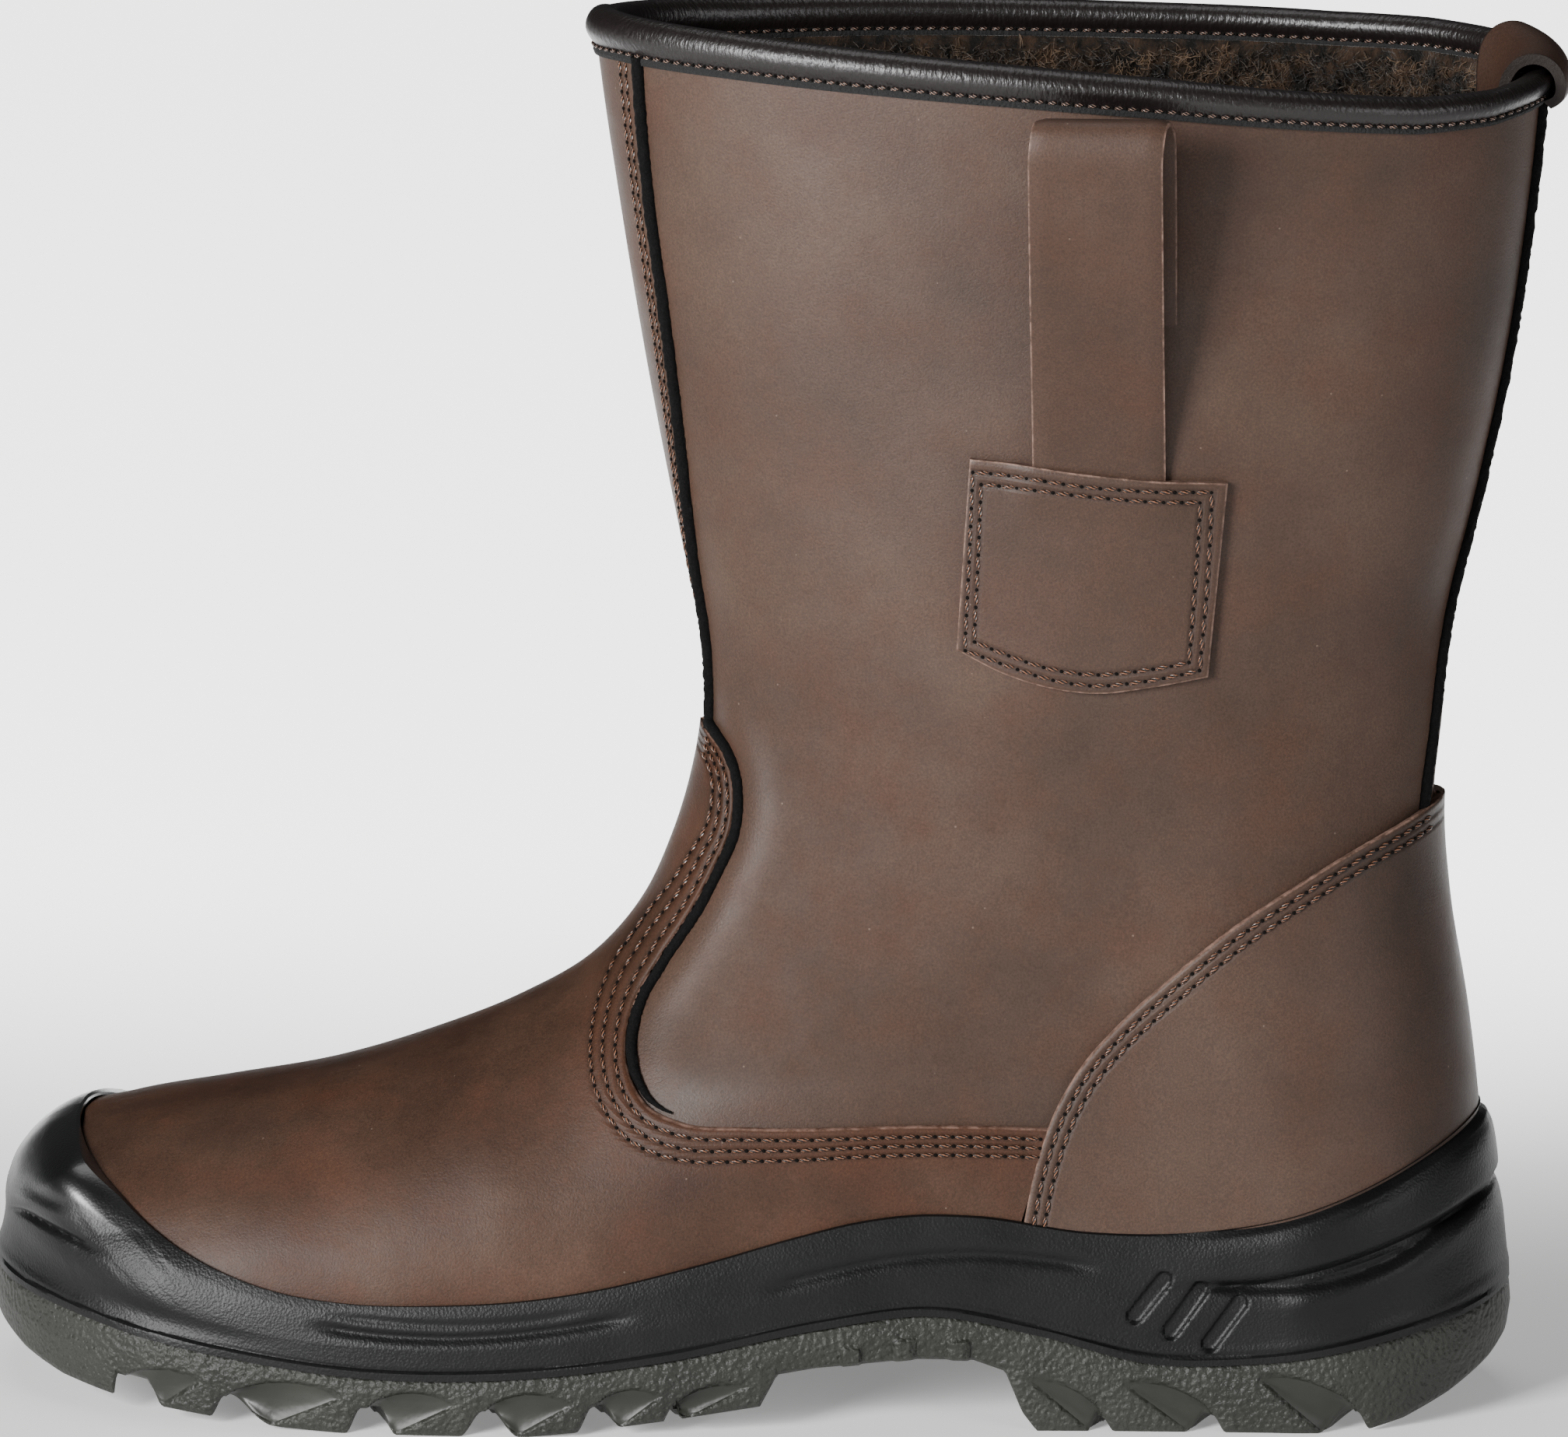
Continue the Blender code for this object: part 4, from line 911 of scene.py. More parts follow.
def build_binding():
    """Padded roll over the collar's edge, with a flat flange below its seam."""
    section = rounded_ring(BINDING, 44)
    rings = np.array([level(1.0 + high / COLLAR_RUN, out, BINDING_COLUMNS) for high, out in section])
    round_count = 2 * BINDING_COLUMNS
    middle = rings.mean(0)
    step = np.linalg.norm(np.diff(middle, axis=0, prepend=middle[:1]), axis=1)
    round_step = np.linalg.norm(np.diff(section, axis=0, prepend=section[:1]), axis=1)
    marks = {"run": np.tile(np.cumsum(step), len(section)),
             "turn": np.repeat(np.cumsum(round_step), round_count),
             "flange": np.repeat((section[:, 0] < BINDING_SEAM) * 1.0, round_count)}
    faces = quads(len(rings), round_count, True, True)
    binding = piece("collar_binding_roll", rings, faces, binding_leather, marks)
    place(binding, "binding", "collar_binding")


# Sole: stations along it, closer together towards toe and heel
SOLE_COLUMNS = 640
EVEN = np.linspace(1.0, 0.0, SOLE_COLUMNS + 1)
STATIONS = 0.5 * EVEN + 0.5 * (0.5 - 0.5 * np.cos(EVEN * math.pi))
STATION_X = STATIONS * SOLE_LENGTH
FROM_ENDS = np.minimum(STATIONS, 1.0 - STATIONS) * SOLE_LENGTH
# Ends of the sole: profile, outward sign, end station, pull of the end on the stations, dip of the edge
SOLE_ENDS = (
    (DORSAL_LINE, 1.0, -1, ((1.0 - STATIONS) ** 6)[:, None], 3.4),
    (BACK_LINE, -1.0, 0, (STATIONS ** 6)[:, None], 0.0),
)
# Midsole wall: share of its height over the parting line, how far it stands out from the leather
CUP_WALL = np.array([
    (0.0, 5.4), (0.10, 5.5), (0.15, 5.2), (0.40, 5.0), (0.47, 4.8), (0.54, 4.6), (0.82, 3.9), (1.0, 3.2),
])
# Lip and hidden inner wall of the midsole, in the same columns
CUP_LIP = ((1.012, 2.7), (1.012, 2.2), (0.99, 1.7), (0.8, 0.3), (0.4, 0.0), (0.06, -1.0))
# Padded roll at the top of the heel, over a soft groove: share of the wall, how far it stands out
HEEL_ROLL = smooth([
    (0.0, 0.0), (0.46, 0.0), (0.53, -0.3), (0.58, -1.1), (0.635, 0.0), (0.72, 0.75), (0.84, 0.95),
    (0.93, 0.5), (0.97, -0.5), (1.0, -1.4),
], 120)
# Outsole wall: share of its height below the parting line, how far it stands out
TREAD_WALL = np.array([(0.0, 4.9), (0.06, 5.3), (0.45, 5.6), (0.92, 4.9), (1.0, 4.2)])
HEEL_FLARE = 1.8
FLARE = HEEL_FLARE * rise(STATION_X, 262.0, 44.0)
TOE_FULLNESS = 0.6
TOE_UNDERCUT = 1.3
CUP_ROWS = 64
TREAD_ROWS = 24
TREAD_COLUMNS = 65
LUG_SLANT = 0.35
CHANNEL_DEEP = 3.4
SLOT_DEEP = 1.0
CHEEK_HIGH = 4.0
# Moulded lines of the midsole in the side view: points, width, height (minus is a groove)
MOULD_LINES = [
    ([(70.2, 22.2), (78.0, 21.2), (101.3, 20.5), (120.4, 22.5), (136.4, 25.3)], 1.1, -0.9), ([(74.0, 24.5),
    (81.2, 23.8), (101.4, 23.1), (117.6, 24.6), (127.0, 26.5)], 1.0, -0.45), ([(162.4, 30.6), (172.4, 33.1),
    (187.4, 36.0), (202.3, 36.9), (217.4, 35.7), (230.0, 33.8)], 1.3, -0.9), ([(308.0, 45.6), (298.7, 41.0),
    (290.8, 36.4), (282.8, 33.5), (272.2, 31.2), (264.1, 30.4), (256.1, 30.3),
      (248.6, 31.2)], 1.1, -1.1),
    ([(266.0, 26.6), (280.0, 29.4), (290.0, 33.2), (299.0, 37.8), (307.0, 42.0)], 2.6, 0.8),
    ([(0.2, 33.8), (8.6, 37.2), (13.8, 36.7), (20.8, 35.0), (27.0, 33.0)], 0.8, -1.1),
    ([(0.2, 36.6), (8.6, 40.2), (13.8, 39.9), (20.8, 38.4)], 1.8, 0.6),
    ([(6.1, 47.9), (11.1, 50.4), (15.8, 50.8)], 1.0, -0.5),
]
# Recessed slots: lower end, upper end
SLOTS = [(236.6, 24.4, 242.4, 31.8), (243.8, 21.2, 249.8, 29.8), (251.8, 18.8, 257.8, 27.2)]
# Notches of the tread's lower edge: start, floor from, floor to, end, depth
NOTCHES = [
    (28.5, 29.3, 35.5, 39.2, 4.6), (49.0, 52.0, 53.0, 62.0, 4.7), (76.9, 80.2, 83.7, 87.3, 5.4),
    (100.3, 105.0, 106.4, 112.3, 5.3), (123.9, 127.2, 128.6, 133.1, 5.0), (141.6, 142.8, 143.8, 145.2, 2.3),
    (227.3, 229.3, 230.3, 232.8, 3.0), (247.1, 251.4, 252.9, 255.6, 3.6), (274.3, 280.6, 282.5, 285.2, 4.3),
]
# Scoops over the lugs: start, end, height of the arch, depth, lug corner below
SCOOPS = [
    (30.5, 8.0, 47.5, 9.6, 3.0, 2.4, 39.2, 3.2), (52.4, 6.4, 77.0, 7.6, 3.8, 3.0, 62.0, 0.8),
    (81.6, 5.4, 100.0, 6.6, 3.6, 2.8, 87.3, 0.0), (105.8, 5.3, 123.5, 6.8, 3.6, 2.8, 112.3, 0.0),
    (128.0, 6.1, 141.5, 8.6, 3.2, 2.6, 133.1, 1.8), (143.6, 5.8, 159.0, 10.4, 3.0, 2.2, 146.5, 3.8),
    (229.8, 3.2, 214.4, 11.4, 3.0, 2.2, 227.3, 0.0), (252.2, 3.7, 233.8, 10.4, 3.2, 2.6, 247.1, 0.0),
    (281.6, 4.4, 261.4, 11.8, 3.4, 3.0, 274.3, 0.0),
]
# Ribs under the waist: x, height of their foot
RIBS = [(179.4, 11.8), (190.2, 13.2), (201.2, 13.0)]


def sole_places(share, grow):
    """Side-view places of one ring of the midsole wall, from the parting line (0) to its edge (1)."""
    low = np.stack([STATION_X, follow(PARTING_LINE, STATION_X)], 1)
    high_x = CUP_LINE[0, 0] + STATIONS * (CUP_LINE[-1, 0] - CUP_LINE[0, 0])
    high = np.stack([high_x, follow(CUP_LINE, high_x)], 1)
    straight = low * (1.0 - share) + high * share
    spot = straight
    for line, outward, end, pull, dip in SOLE_ENDS:
        first = place_at(line, low[end, 1])
        final = place_at(line, high[end, 1] - dip)
        tip = profile_point(line, first + share * (final - first), outward, grow[end])
        spot = spot + pull * (tip - straight[end])
    return spot[:, 0], spot[:, 1]


def cheek(x, z):
    """Bulge at the side of the scuff cap."""
    return np.exp(-((x - 16.4) / 10.5) ** 2 - ((z - 48.8) / 7.6) ** 2)


def cup_relief(x, z):
    """Moulded detail of the midsole wall at side-view places."""
    over = z - follow(PARTING_LINE, x)
    total = 0.5 * fall(over, 1.5, 0.4) - 0.2 * hump(over, 2.0, 0.3)
    for rows, wide, high in MOULD_LINES:
        line = smooth(rows, 60)
        away, along = away_from(line, x, z)
        fade = ease(along / 8.0 + 0.25) * ease((run_of(line)[-1] - along) / 10.0 + 0.15)
        total = total + high * hump(away, 0.0, wide) * fade
    for x0, z0, x1, z1 in SLOTS:
        away, _ = away_from(np.array([(x0, z0), (x1, z1)]), x, z)
        total = total - SLOT_DEEP * fall(away, 1.25, 0.7)
    return total + CHEEK_HIGH * cheek(x, z)


def cup_ring(share):
    """Ring of the midsole's outer wall."""
    grow = follow(CUP_WALL, share) + FLARE * (1.0 - share)
    grow = grow + TOE_FULLNESS * fall(STATION_X, 6.0, 40.0) * math.sin(math.pi * share)
    grow = grow + follow(HEEL_ROLL, share) * rise(STATION_X, 236.0, 40.0)
    grow = grow - TOE_UNDERCUT * fall(STATION_X, 26.0, 40.0) * hump(share, 0.26, 0.16)
    x, z = sole_places(share, grow)
    inner = -1.5 * share * fall(STATION_X, 24.0, 22.0) * ease(FROM_ENDS / 4.0)
    return ring_of(x, z, grow + cup_relief(x, z) * ease(FROM_ENDS / 6.0), lifts=(0.0, inner))


def notch(x):
    """Height by which the tread's lower edge is notched."""
    total = np.zeros_like(x)
    for start, floor, floor_end, end, deep in NOTCHES:
        sides = np.minimum(rise(x, start, floor - start), ease((end - x) / (end - floor_end)))
        total = np.maximum(total, deep * sides)
    return total


def scoop(x, z):
    """Depth of the smooth scoops in the tread's side."""
    total = np.zeros_like(x)
    for x0, z0, x1, z1, arch, deep, lug_x, lug_z in SCOOPS:
        size = math.hypot(x1 - x0, z1 - z0)
        ux, uz = (x1 - x0) / size, (z1 - z0) / size
        up = 1.0 if ux > 0.0 else -1.0
        t = ((x - x0) * ux + (z - z0) * uz) / size
        q = up * ((z - z0) * ux - (x - x0) * uz)
        lug_t = ((lug_x - x0) * ux + (lug_z - z0) * uz) / size
        lug_q = up * ((lug_z - z0) * ux - (lug_x - x0) * uz)
        held = np.clip(t, 0.0, 1.0)
        within = (t > 0.0) & (t < 1.0)
        run = 0.7 * deep * (1.0 - held) ** 0.7 * ease(t / 0.04 + 0.6)
        crown = arch * (4.0 * held * (1.0 - held)) ** 0.7 + 0.01
        above = run * np.clip(1.0 - (q / crown) ** 2, 0.0, 1.0) * ((q >= 0.0) & within)
        bottom = np.where(t < lug_t, lug_q * t / lug_t, lug_q * (1.0 - t) / (1.0 - lug_t))
        share = np.clip(q / np.minimum(bottom, -0.01), 0.0, 1.0)
        below = run * (1.0 - share ** 2.2) * ((q < 0.0) & within)
        total = np.maximum(total, np.maximum(above, below))
    return total


def tread_ring(share):
    """Ring of the outsole's side wall from the parting line (0) to the tread (1), and its scoops' depth."""
    top = follow(PARTING_LINE, STATION_X) - 0.15
    low = follow(TREAD_TABLE, STATION_X) + notch(STATION_X)
    z = top * (1.0 - share) + low * share
    grow = follow(TREAD_WALL, share) + FLARE
    spot = np.stack([STATION_X, z], 1)
    for line, outward, end, pull, _ in SOLE_ENDS:
        tip = profile_point(line, place_at(line, z[end]), outward, grow[end])
        spot = spot + pull * (np.array([tip[0], z[end]]) - spot[end])
    cut = scoop(spot[:, 0], spot[:, 1])
    rib = np.zeros_like(z)
    for rib_x, base in RIBS:
        rib = rib + fall(np.abs(STATION_X - rib_x), 1.6, 0.6) * fall(z, base + 6.0, 1.0)
    ring = ring_of(spot[:, 0], spot[:, 1], grow + (rib - cut) * ease(FROM_ENDS / 6.0))
    return ring, np.concatenate([cut, cut[-2:0:-1]])


def build_midsole():
    """Midsole cup with scuff cap, lip and hidden inner wall."""
    rings = [cup_ring(share) for share in np.linspace(0.0, 1.0, CUP_ROWS)]
    for share, stand in CUP_LIP:
        grow = np.full(len(STATIONS), stand)
        rings.append(ring_of(*sole_places(share, grow), grow))
    points = np.concatenate(rings)
    marks = {"polish": cheek(points[:, 0], points[:, 2])}
    midsole = piece("midsole_cup", points, stacked_faces(len(rings), len(rings[0])), foam, marks, SOLE_ANGLE)
    place(midsole, "midsole", "midsole")


def build_outsole():
    """Side wall with lugs and scoops, and the tread underneath with slanted lugs either side of a channel."""
    rings, cuts = zip(*[tread_ring(share) for share in np.linspace(0.0, 1.0, TREAD_ROWS)])
    wall = np.concatenate(rings)
    count = len(rings[0])
    half = count // 2
    lateral_rim = rings[-1][:half + 1]
    medial_rim = rings[-1][(count - np.arange(half + 1)) % count]
    share = np.linspace(0.0, 1.0, TREAD_COLUMNS)[None, :, None]
    ground = lateral_rim[:, None] * (1.0 - share) + medial_rim[:, None] * share
    x = ground[..., 0]
    gap = np.linalg.norm(medial_rim - lateral_rim, axis=1)[:, None]
    inside = np.minimum(share[..., 0], 1.0 - share[..., 0]) * gap
    slant = x + np.where(x > 190.0, -LUG_SLANT, LUG_SLANT) * inside
    channel = CHANNEL_DEEP * fall(gap / 2.0 - inside, 2.2, 2.4) * fall(follow(TREAD_TABLE, slant), 6.0, 3.0)
    lugs = follow(TREAD_TABLE, x) + np.maximum(notch(slant), channel)
    roof = follow(PARTING_LINE, x) - 4.0
    ground[..., 2] += (np.minimum(lugs, roof) - ground[..., 2]) * ease(inside / 3.0)
    faces = quads(len(rings), count, wrap_columns=True).tolist() + [f[::-1] for f in strip_ends(count, 0)]
    faces += (quads(half + 1, TREAD_COLUMNS) + len(wall)).tolist()
    points = np.concatenate([wall, ground.reshape(-1, 3)])
    marks = {"slick": np.concatenate([*cuts, np.zeros(x.size)])}
    outsole = welded("outsole_tread", points, faces, rubber, marks, SOLE_ANGLE)
    place(outsole, "outsole", "outsole")


def build_insole():
    """Loose felt footbed."""
    rings = [level(0.0, -WALL - inset, 90, high) for inset, high in ((1.2, 0.0), (1.2, 3.8), (2.6, 5.0))]
    insole = piece("felt_insole", np.concatenate(rings), stacked_faces(len(rings), len(rings[0])), felt)
    place(insole, "footbed", "insole")


# Piping
CORD_SIDES = 12
CORD_RAGGED = 0.13
SHAFT_CORD = 1.35
VAMP_CORD = 1.15
CORD_END = 64.9
# Shaft seams: name, table, profile, inward sign, shifts of the stitch rows beside the cord
SHAFT_SEAMS = (
    ("front", FRONT_SEAM, DORSAL_LINE, 1.0, (3.0, 4.6)),
    ("back", BACK_SEAM, BACK_LINE, -1.0, (2.6,)),
)


def seam_point(line, inward, height, shift):
    """Side-view x at which the leather lies a given shift to the outer side, near a profile."""
    edge = np.interp(height, line[:, 1], line[:, 0])
    near, far = np.full(len(height), 0.0), np.full(len(height), 60.0)
    for _ in range(30):
        mid = (near + far) / 2.0
        reach = surface(edge + inward * mid, height, LATERAL, 0.0, True)
        near, far = np.where(reach > shift, mid, near), np.where(reach > shift, far, mid)
    return edge + inward * (near + far) / 2.0


def tube(name, path, out, radius, look):
    """Ragged felt cord along a path, lying in the surface whose outward directions are given."""
    along = unit(np.gradient(path, axis=0))
    across = unit(np.cross(along, out))
    up = np.cross(across, along)
    turn = np.linspace(0.0, 2.0 * math.pi, CORD_SIDES, endpoint=False)
    ring = across[:, None] * np.cos(turn)[None, :, None] + up[:, None] * np.sin(turn)[None, :, None]
    ragged = 1.0 + CORD_RAGGED * np.random.default_rng(7).uniform(-1.0, 1.0, (len(path), CORD_SIDES))
    points = path[:, None] + ring * (np.broadcast_to(radius, len(path))[:, None] * ragged)[..., None]
    return piece(name, points, swept_faces(len(path), CORD_SIDES), look)


def build_piping():
    """Felt cords in the front and back seams and behind the vamp's edge."""
    for name, table, line, inward, _ in SHAFT_SEAMS:
        rows = smooth(table, 160)
        at = seam_point(line, inward, rows[:, 0], rows[:, 1])
        path, out = on_leather(np.stack([at, rows[:, 0]], 1), LATERAL, 0.35)
        place(tube(f"piping_{name}_cord", path, out, SHAFT_CORD, felt_cord), "piping", f"piping_{name}")
    flat = beside(VAMP_LINE, VAMP_CORD)[2:]
    flat = flat[:np.argmin(np.abs(flat[:, 1] - CORD_END) + np.where(flat[:, 0] > 150.0, 50.0, 0.0))]
    taper = np.minimum(1.0, (1.0 - np.linspace(0.0, 1.0, len(flat))) / 0.2 + 0.2)
    for side, label in SIDES:
        path, out = on_leather(flat, side, 0.55)
        cord = tube(f"piping_vamp_{label}_cord", path, out, VAMP_CORD * taper, felt_cord)
        place(cord, "piping", f"piping_vamp_{label}")


# Patches, pull straps and rear loop
PATCH_THICK = 1.8
PATCH_SWELL = 1.1
STRIP_ROUND = 0.5
STRIP_COLUMNS = 15


def ribbon(name, run, across, thick, look):
    """Leather strip with rounded edges, swept along points with one half-width vector."""
    half = np.linalg.norm(across)
    normal = unit(np.cross(np.gradient(run, axis=0), across))
    section = []
    for sign in (1.0, -1.0):
        for s in np.linspace(-1.0, 1.0, STRIP_COLUMNS):
            inset = max(0.0, abs(s) * half - (half - STRIP_ROUND))
            high = thick / 2.0 - STRIP_ROUND + math.sqrt(max(0.0, STRIP_ROUND ** 2 - inset * inset))
            section.append((sign * s * half, sign * high))
    section = np.array(section)
    points = run[:, None] + across / half * section[None, :, :1] + normal[:, None] * section[None, :, 1:]
    edge = np.tile(half - np.abs(section[:, 0]), len(run))
    return piece(name, points, swept_faces(len(run), len(section)), look, {"edge": edge})


def strap_swell(x, z):
    """Rise of the patch over the end of the strap that it holds."""
    return PATCH_SWELL * fall(np.abs(x - STRAP_X), 12.0, 8.0) * rise(z, 186.0, 13.0)


def build_patches_and_straps():
    """Sewn patches with the pull straps that they hold, on both sides."""
    u = np.linspace(0.0, 1.0, 90)
    v = np.linspace(0.0, 1.0, 76)[:, None, None]
    top = along_line(smooth(PATCH_TOP, 40), u)
    low = along_line(smooth(PATCH_LOW, 60), u)
    flat = low[None] * (1.0 - v) + top[None] * v
    x, z = flat[..., 0], flat[..., 1]
    edge, _ = away_from(np.concatenate([low, flat[:, -1], top[::-1], flat[::-1, 0]]), x, z)
    sewn = sewn_mark(patch_rows, x, z)
    marks = {"edge": (edge, np.full(edge.shape, -1.0)), "sewn": (sewn, np.zeros(sewn.shape))}
    grow = 0.3 + PATCH_THICK * (0.8 + 0.2 * lobe(edge / 0.7, 2.0)) + strap_swell(x, z)
    rows = smooth(STRAP_RUN, 110)
    strap_x = STRAP_X + STRAP_SKEW * rise(np.arange(len(rows)) / len(rows), 0.58, 0.14)
    for side, label in SIDES:
        outer, inner = (np.stack([x, surface(x, z, side, g, True), z], -1) for g in (grow, 0.1))
        patch = shell(f"strap_patch_{label}_leather", outer, inner, patch_leather, marks)
        place(patch, "leather", f"strap_patch_{label}")
        wall = surface(strap_x, rows[:, 1], side, 0.0)
        run = np.stack([strap_x, wall + side * (rows[:, 0] + 0.2 + STRAP_THICK / 2.0), rows[:, 1]], 1)
        across = np.array([side * STRAP_WIDE / 2.0, 0.0, 0.0])
        strap = ribbon(f"pull_strap_{label}_leather", run, across, STRAP_THICK, strap_leather)
        place(strap, "strap", f"pull_strap_{label}")


def build_loop():
    """Finger loop over the back of the collar, bent round with it."""
    back_edge = profile_point(BACK_LINE, HEEL_TOP, -1.0, 0.0)
    rows = smooth(LOOP_RUN, 90)
    across = np.linspace(-0.5, 0.5, 21) * LOOP_WIDE
    loop_y = LOOP_MIDDLE + across
    bend = 96.0 * (np.sqrt(1.0 - (loop_y / 45.0) ** 2) - 1.0) + 0.1
    lean = 0.16 * (loop_y - 15.0) * rise(rows[:, 1:], -9.0, 9.0)
    grids = []
    for away in (LOOP_THICK / 2.0, -LOOP_THICK / 2.0):
        line = beside(rows, away)
        grid = np.zeros((len(rows), len(across), 3))
        grid[..., 0] = back_edge[0] + line[:, :1] + bend
        grid[..., 1] = loop_y
        grid[..., 2] = back_edge[1] + line[:, 1:] + lean
        grids.append(grid)
    edge = np.broadcast_to(LOOP_WIDE / 2.0 - np.abs(across), (len(rows), len(across)))
    loop = shell("rear_loop_leather", *grids, loop_leather, {"edge": (edge, edge)})
    place(loop, "strap", "rear_loop")


# Geometry Nodes groups for stitches and fibres
def sewn_group():
    """Node group that sews thread beads, and dark dots of painted shadow for the needle holes, along mesh lines
    that carry their outward direction.
    """
    group = bpy.data.node_groups.new("sewn stitches", "GeometryNodeTree")
    face = group.interface
    face.new_socket("Lines", in_out="INPUT", socket_type="NodeSocketGeometry")
    for label in ("Pitch", "Long", "Wide", "High"):
        face.new_socket(label, in_out="INPUT", socket_type="NodeSocketFloat")
    for label in ("Thread", "Hole"):
        face.new_socket(label, in_out="INPUT", socket_type="NodeSocketMaterial")
    face.new_socket("Stitches", in_out="OUTPUT", socket_type="NodeSocketGeometry")
    given = node(group, "NodeGroupInput").outputs
    curve = node(group, "GeometryNodeMeshToCurve", {"Mesh": given["Lines"]})
    even = node(group, "GeometryNodeResampleCurve", {"Curve": curve.outputs[0], "Length": given["Pitch"]},
                mode="LENGTH")
    out = node(group, "GeometryNodeInputNamedAttribute", {"Name": "out"}, data_type="FLOAT_VECTOR")
    tangent = node(group, "GeometryNodeInputTangent")
    turn = node(group, "FunctionNodeAxesToRotation", {0: tangent.outputs[0], 1: out.outputs[0]},
                primary_axis="X",
                secondary_axis="Z")
    slant = node(group, "FunctionNodeRotateRotation", {0: turn.outputs[0], 1: (0.0, 0.0, 0.14)},
                 rotation_space="LOCAL")
    ball = node(group, "GeometryNodeMeshUVSphere", {"Segments": 8, "Rings": 6, "Radius": 0.5})
    mapped = node(group, "GeometryNodeStoreNamedAttribute", {"Geometry": ball.outputs[0], "Name": "UVMap",
                                                             "Value": ball.outputs[1]},
                  data_type="FLOAT2", domain="CORNER")
    upright = node(group, "GeometryNodeTransform", {"Geometry": mapped.outputs[0], "Rotation": (0.0,
                   math.pi / 2.0, 0.0)})
    size = node(group, "ShaderNodeCombineXYZ", {0: given["Long"], 1: given["Wide"], 2: given["High"]})
    beads = node(group, "GeometryNodeInstanceOnPoints", {"Points": even.outputs[0],
                 "Instance": upright.outputs[0],
                                                         "Rotation": slant.outputs[0], "Scale": size.outputs[0]})
    thread = node(group, "GeometryNodeSetMaterial", {0: beads.outputs[0], "Material": given["Thread"]})
    half = node(group, "ShaderNodeMath", {0: given["Pitch"], 1: 0.5}, operation="MULTIPLY")
    step = node(group, "ShaderNodeVectorMath", {0: tangent.outputs[0], "Scale": half.outputs[0]},
                operation="SCALE")
    between = node(group, "GeometryNodeSetPosition", {"Geometry": even.outputs[0], "Offset": step.outputs[0]})
    dot = node(group, "GeometryNodeMeshUVSphere", {"Segments": 8, "Rings": 4, "Radius": 0.5})
    pit = node(group, "ShaderNodeCombineXYZ", {0: given["Wide"], 1: given["Wide"], 2: given["High"]})
    small = node(group, "ShaderNodeVectorMath", {0: pit.outputs[0], 1: (1.0, 0.9, 0.7)}, operation="MULTIPLY")
    pits = node(group, "GeometryNodeInstanceOnPoints", {"Points": between.outputs[0],
                "Instance": dot.outputs[0],
                                                        "Rotation": turn.outputs[0], "Scale": small.outputs[0]})
    holes = node(group, "GeometryNodeSetMaterial", {0: pits.outputs[0], "Material": given["Hole"]})
    both = node(group, "GeometryNodeJoinGeometry")
    group.links.new(thread.outputs[0], both.inputs[0])
    group.links.new(holes.outputs[0], both.inputs[0])
    real = node(group, "GeometryNodeRealizeInstances", {0: both.outputs[0]})
    node(group, "NodeGroupOutput", {0: real.outputs[0]})
    return group


def fibre_group():
    """Node group that plants bent fibres over a surface."""
    group = bpy.data.node_groups.new("fleece fibres", "GeometryNodeTree")
    face = group.interface
    face.new_socket("Skin", in_out="INPUT", socket_type="NodeSocketGeometry")
    face.new_socket("Density", in_out="INPUT", socket_type="NodeSocketFloat")
    face.new_socket("Size", in_out="INPUT", socket_type="NodeSocketFloat")
    face.new_socket("Wool", in_out="INPUT", socket_type="NodeSocketMaterial")
    face.new_socket("Fibres", in_out="OUTPUT", socket_type="NodeSocketGeometry")
    given = node(group, "NodeGroupInput").outputs
    spots = node(group, "GeometryNodeDistributePointsOnFaces", {"Mesh": given["Skin"],
                 "Density": given["Density"],
                                                                "Seed": 11})
    bent = node(group, "GeometryNodeCurveQuadraticBezier", {"Resolution": 2, "Start": (0.0, 0.0, -0.15),
                                                            "Middle": (0.25, 0.1, 0.75), "End": (1.1,
                                                                       -0.15, 0.55)})
    ring = node(group, "GeometryNodeCurvePrimitiveCircle", {"Resolution": 3, "Radius": 0.039})
    strand = node(group, "GeometryNodeCurveToMesh", {0: bent.outputs[0], 1: ring.outputs[0],
                  "Fill Caps": False})
    spin = node(group, "FunctionNodeRandomValue", {0: (-0.5, -0.5, 0.0), 1: (0.5, 0.5, 6.28), "Seed": 3},
                data_type="FLOAT_VECTOR")
    angle = node(group, "FunctionNodeRotateRotation", {0: spots.outputs["Rotation"], 1: spin.outputs[0]},
                 rotation_space="LOCAL")
    vary = node(group, "FunctionNodeRandomValue", {2: 0.6, 3: 1.4, "Seed": 5}, data_type="FLOAT")
    scale = node(group, "ShaderNodeMath", {0: vary.outputs[1], 1: given["Size"]}, operation="MULTIPLY")
    strands = node(group, "GeometryNodeInstanceOnPoints", {"Points": spots.outputs[0],
                   "Instance": strand.outputs[0],
                                                           "Rotation": angle.outputs[0], "Scale": scale.outputs[0]})
    real = node(group, "GeometryNodeRealizeInstances", {0: strands.outputs[0]})
    look = node(group, "GeometryNodeSetMaterial", {0: real.outputs[0], "Material": given["Wool"]})
    node(group, "NodeGroupOutput", {0: look.outputs[0]})
    return group


def plain(name, mesh, group, settings):
    """Plain mesh object made by running a node group on a mesh."""
    source = shown(name + "_lines", mesh)
    change = source.modifiers.new(group.name, "NODES")
    change.node_group = group
    items = [item for item in group.interface.items_tree if item.item_type == "SOCKET"]
    sockets = {item.name: item.identifier for item in items if item.in_out == "INPUT"}
    for label, value in settings.items():
        change[sockets[label]] = value
    ready = source.evaluated_get(bpy.context.evaluated_depsgraph_get())
    flat = bpy.data.meshes.new_from_object(ready)
    bpy.data.objects.remove(source, do_unlink=True)
    flat.name = name
    return shown(name, flat)


# Stitches: beads of twisted thread with dark dots of painted shadow for the needle holes between them, along the
# sewn lines
SEWN = sewn_group()
CLEAR_OF_RIDGE = 0.4
ON_TOP = 0.2


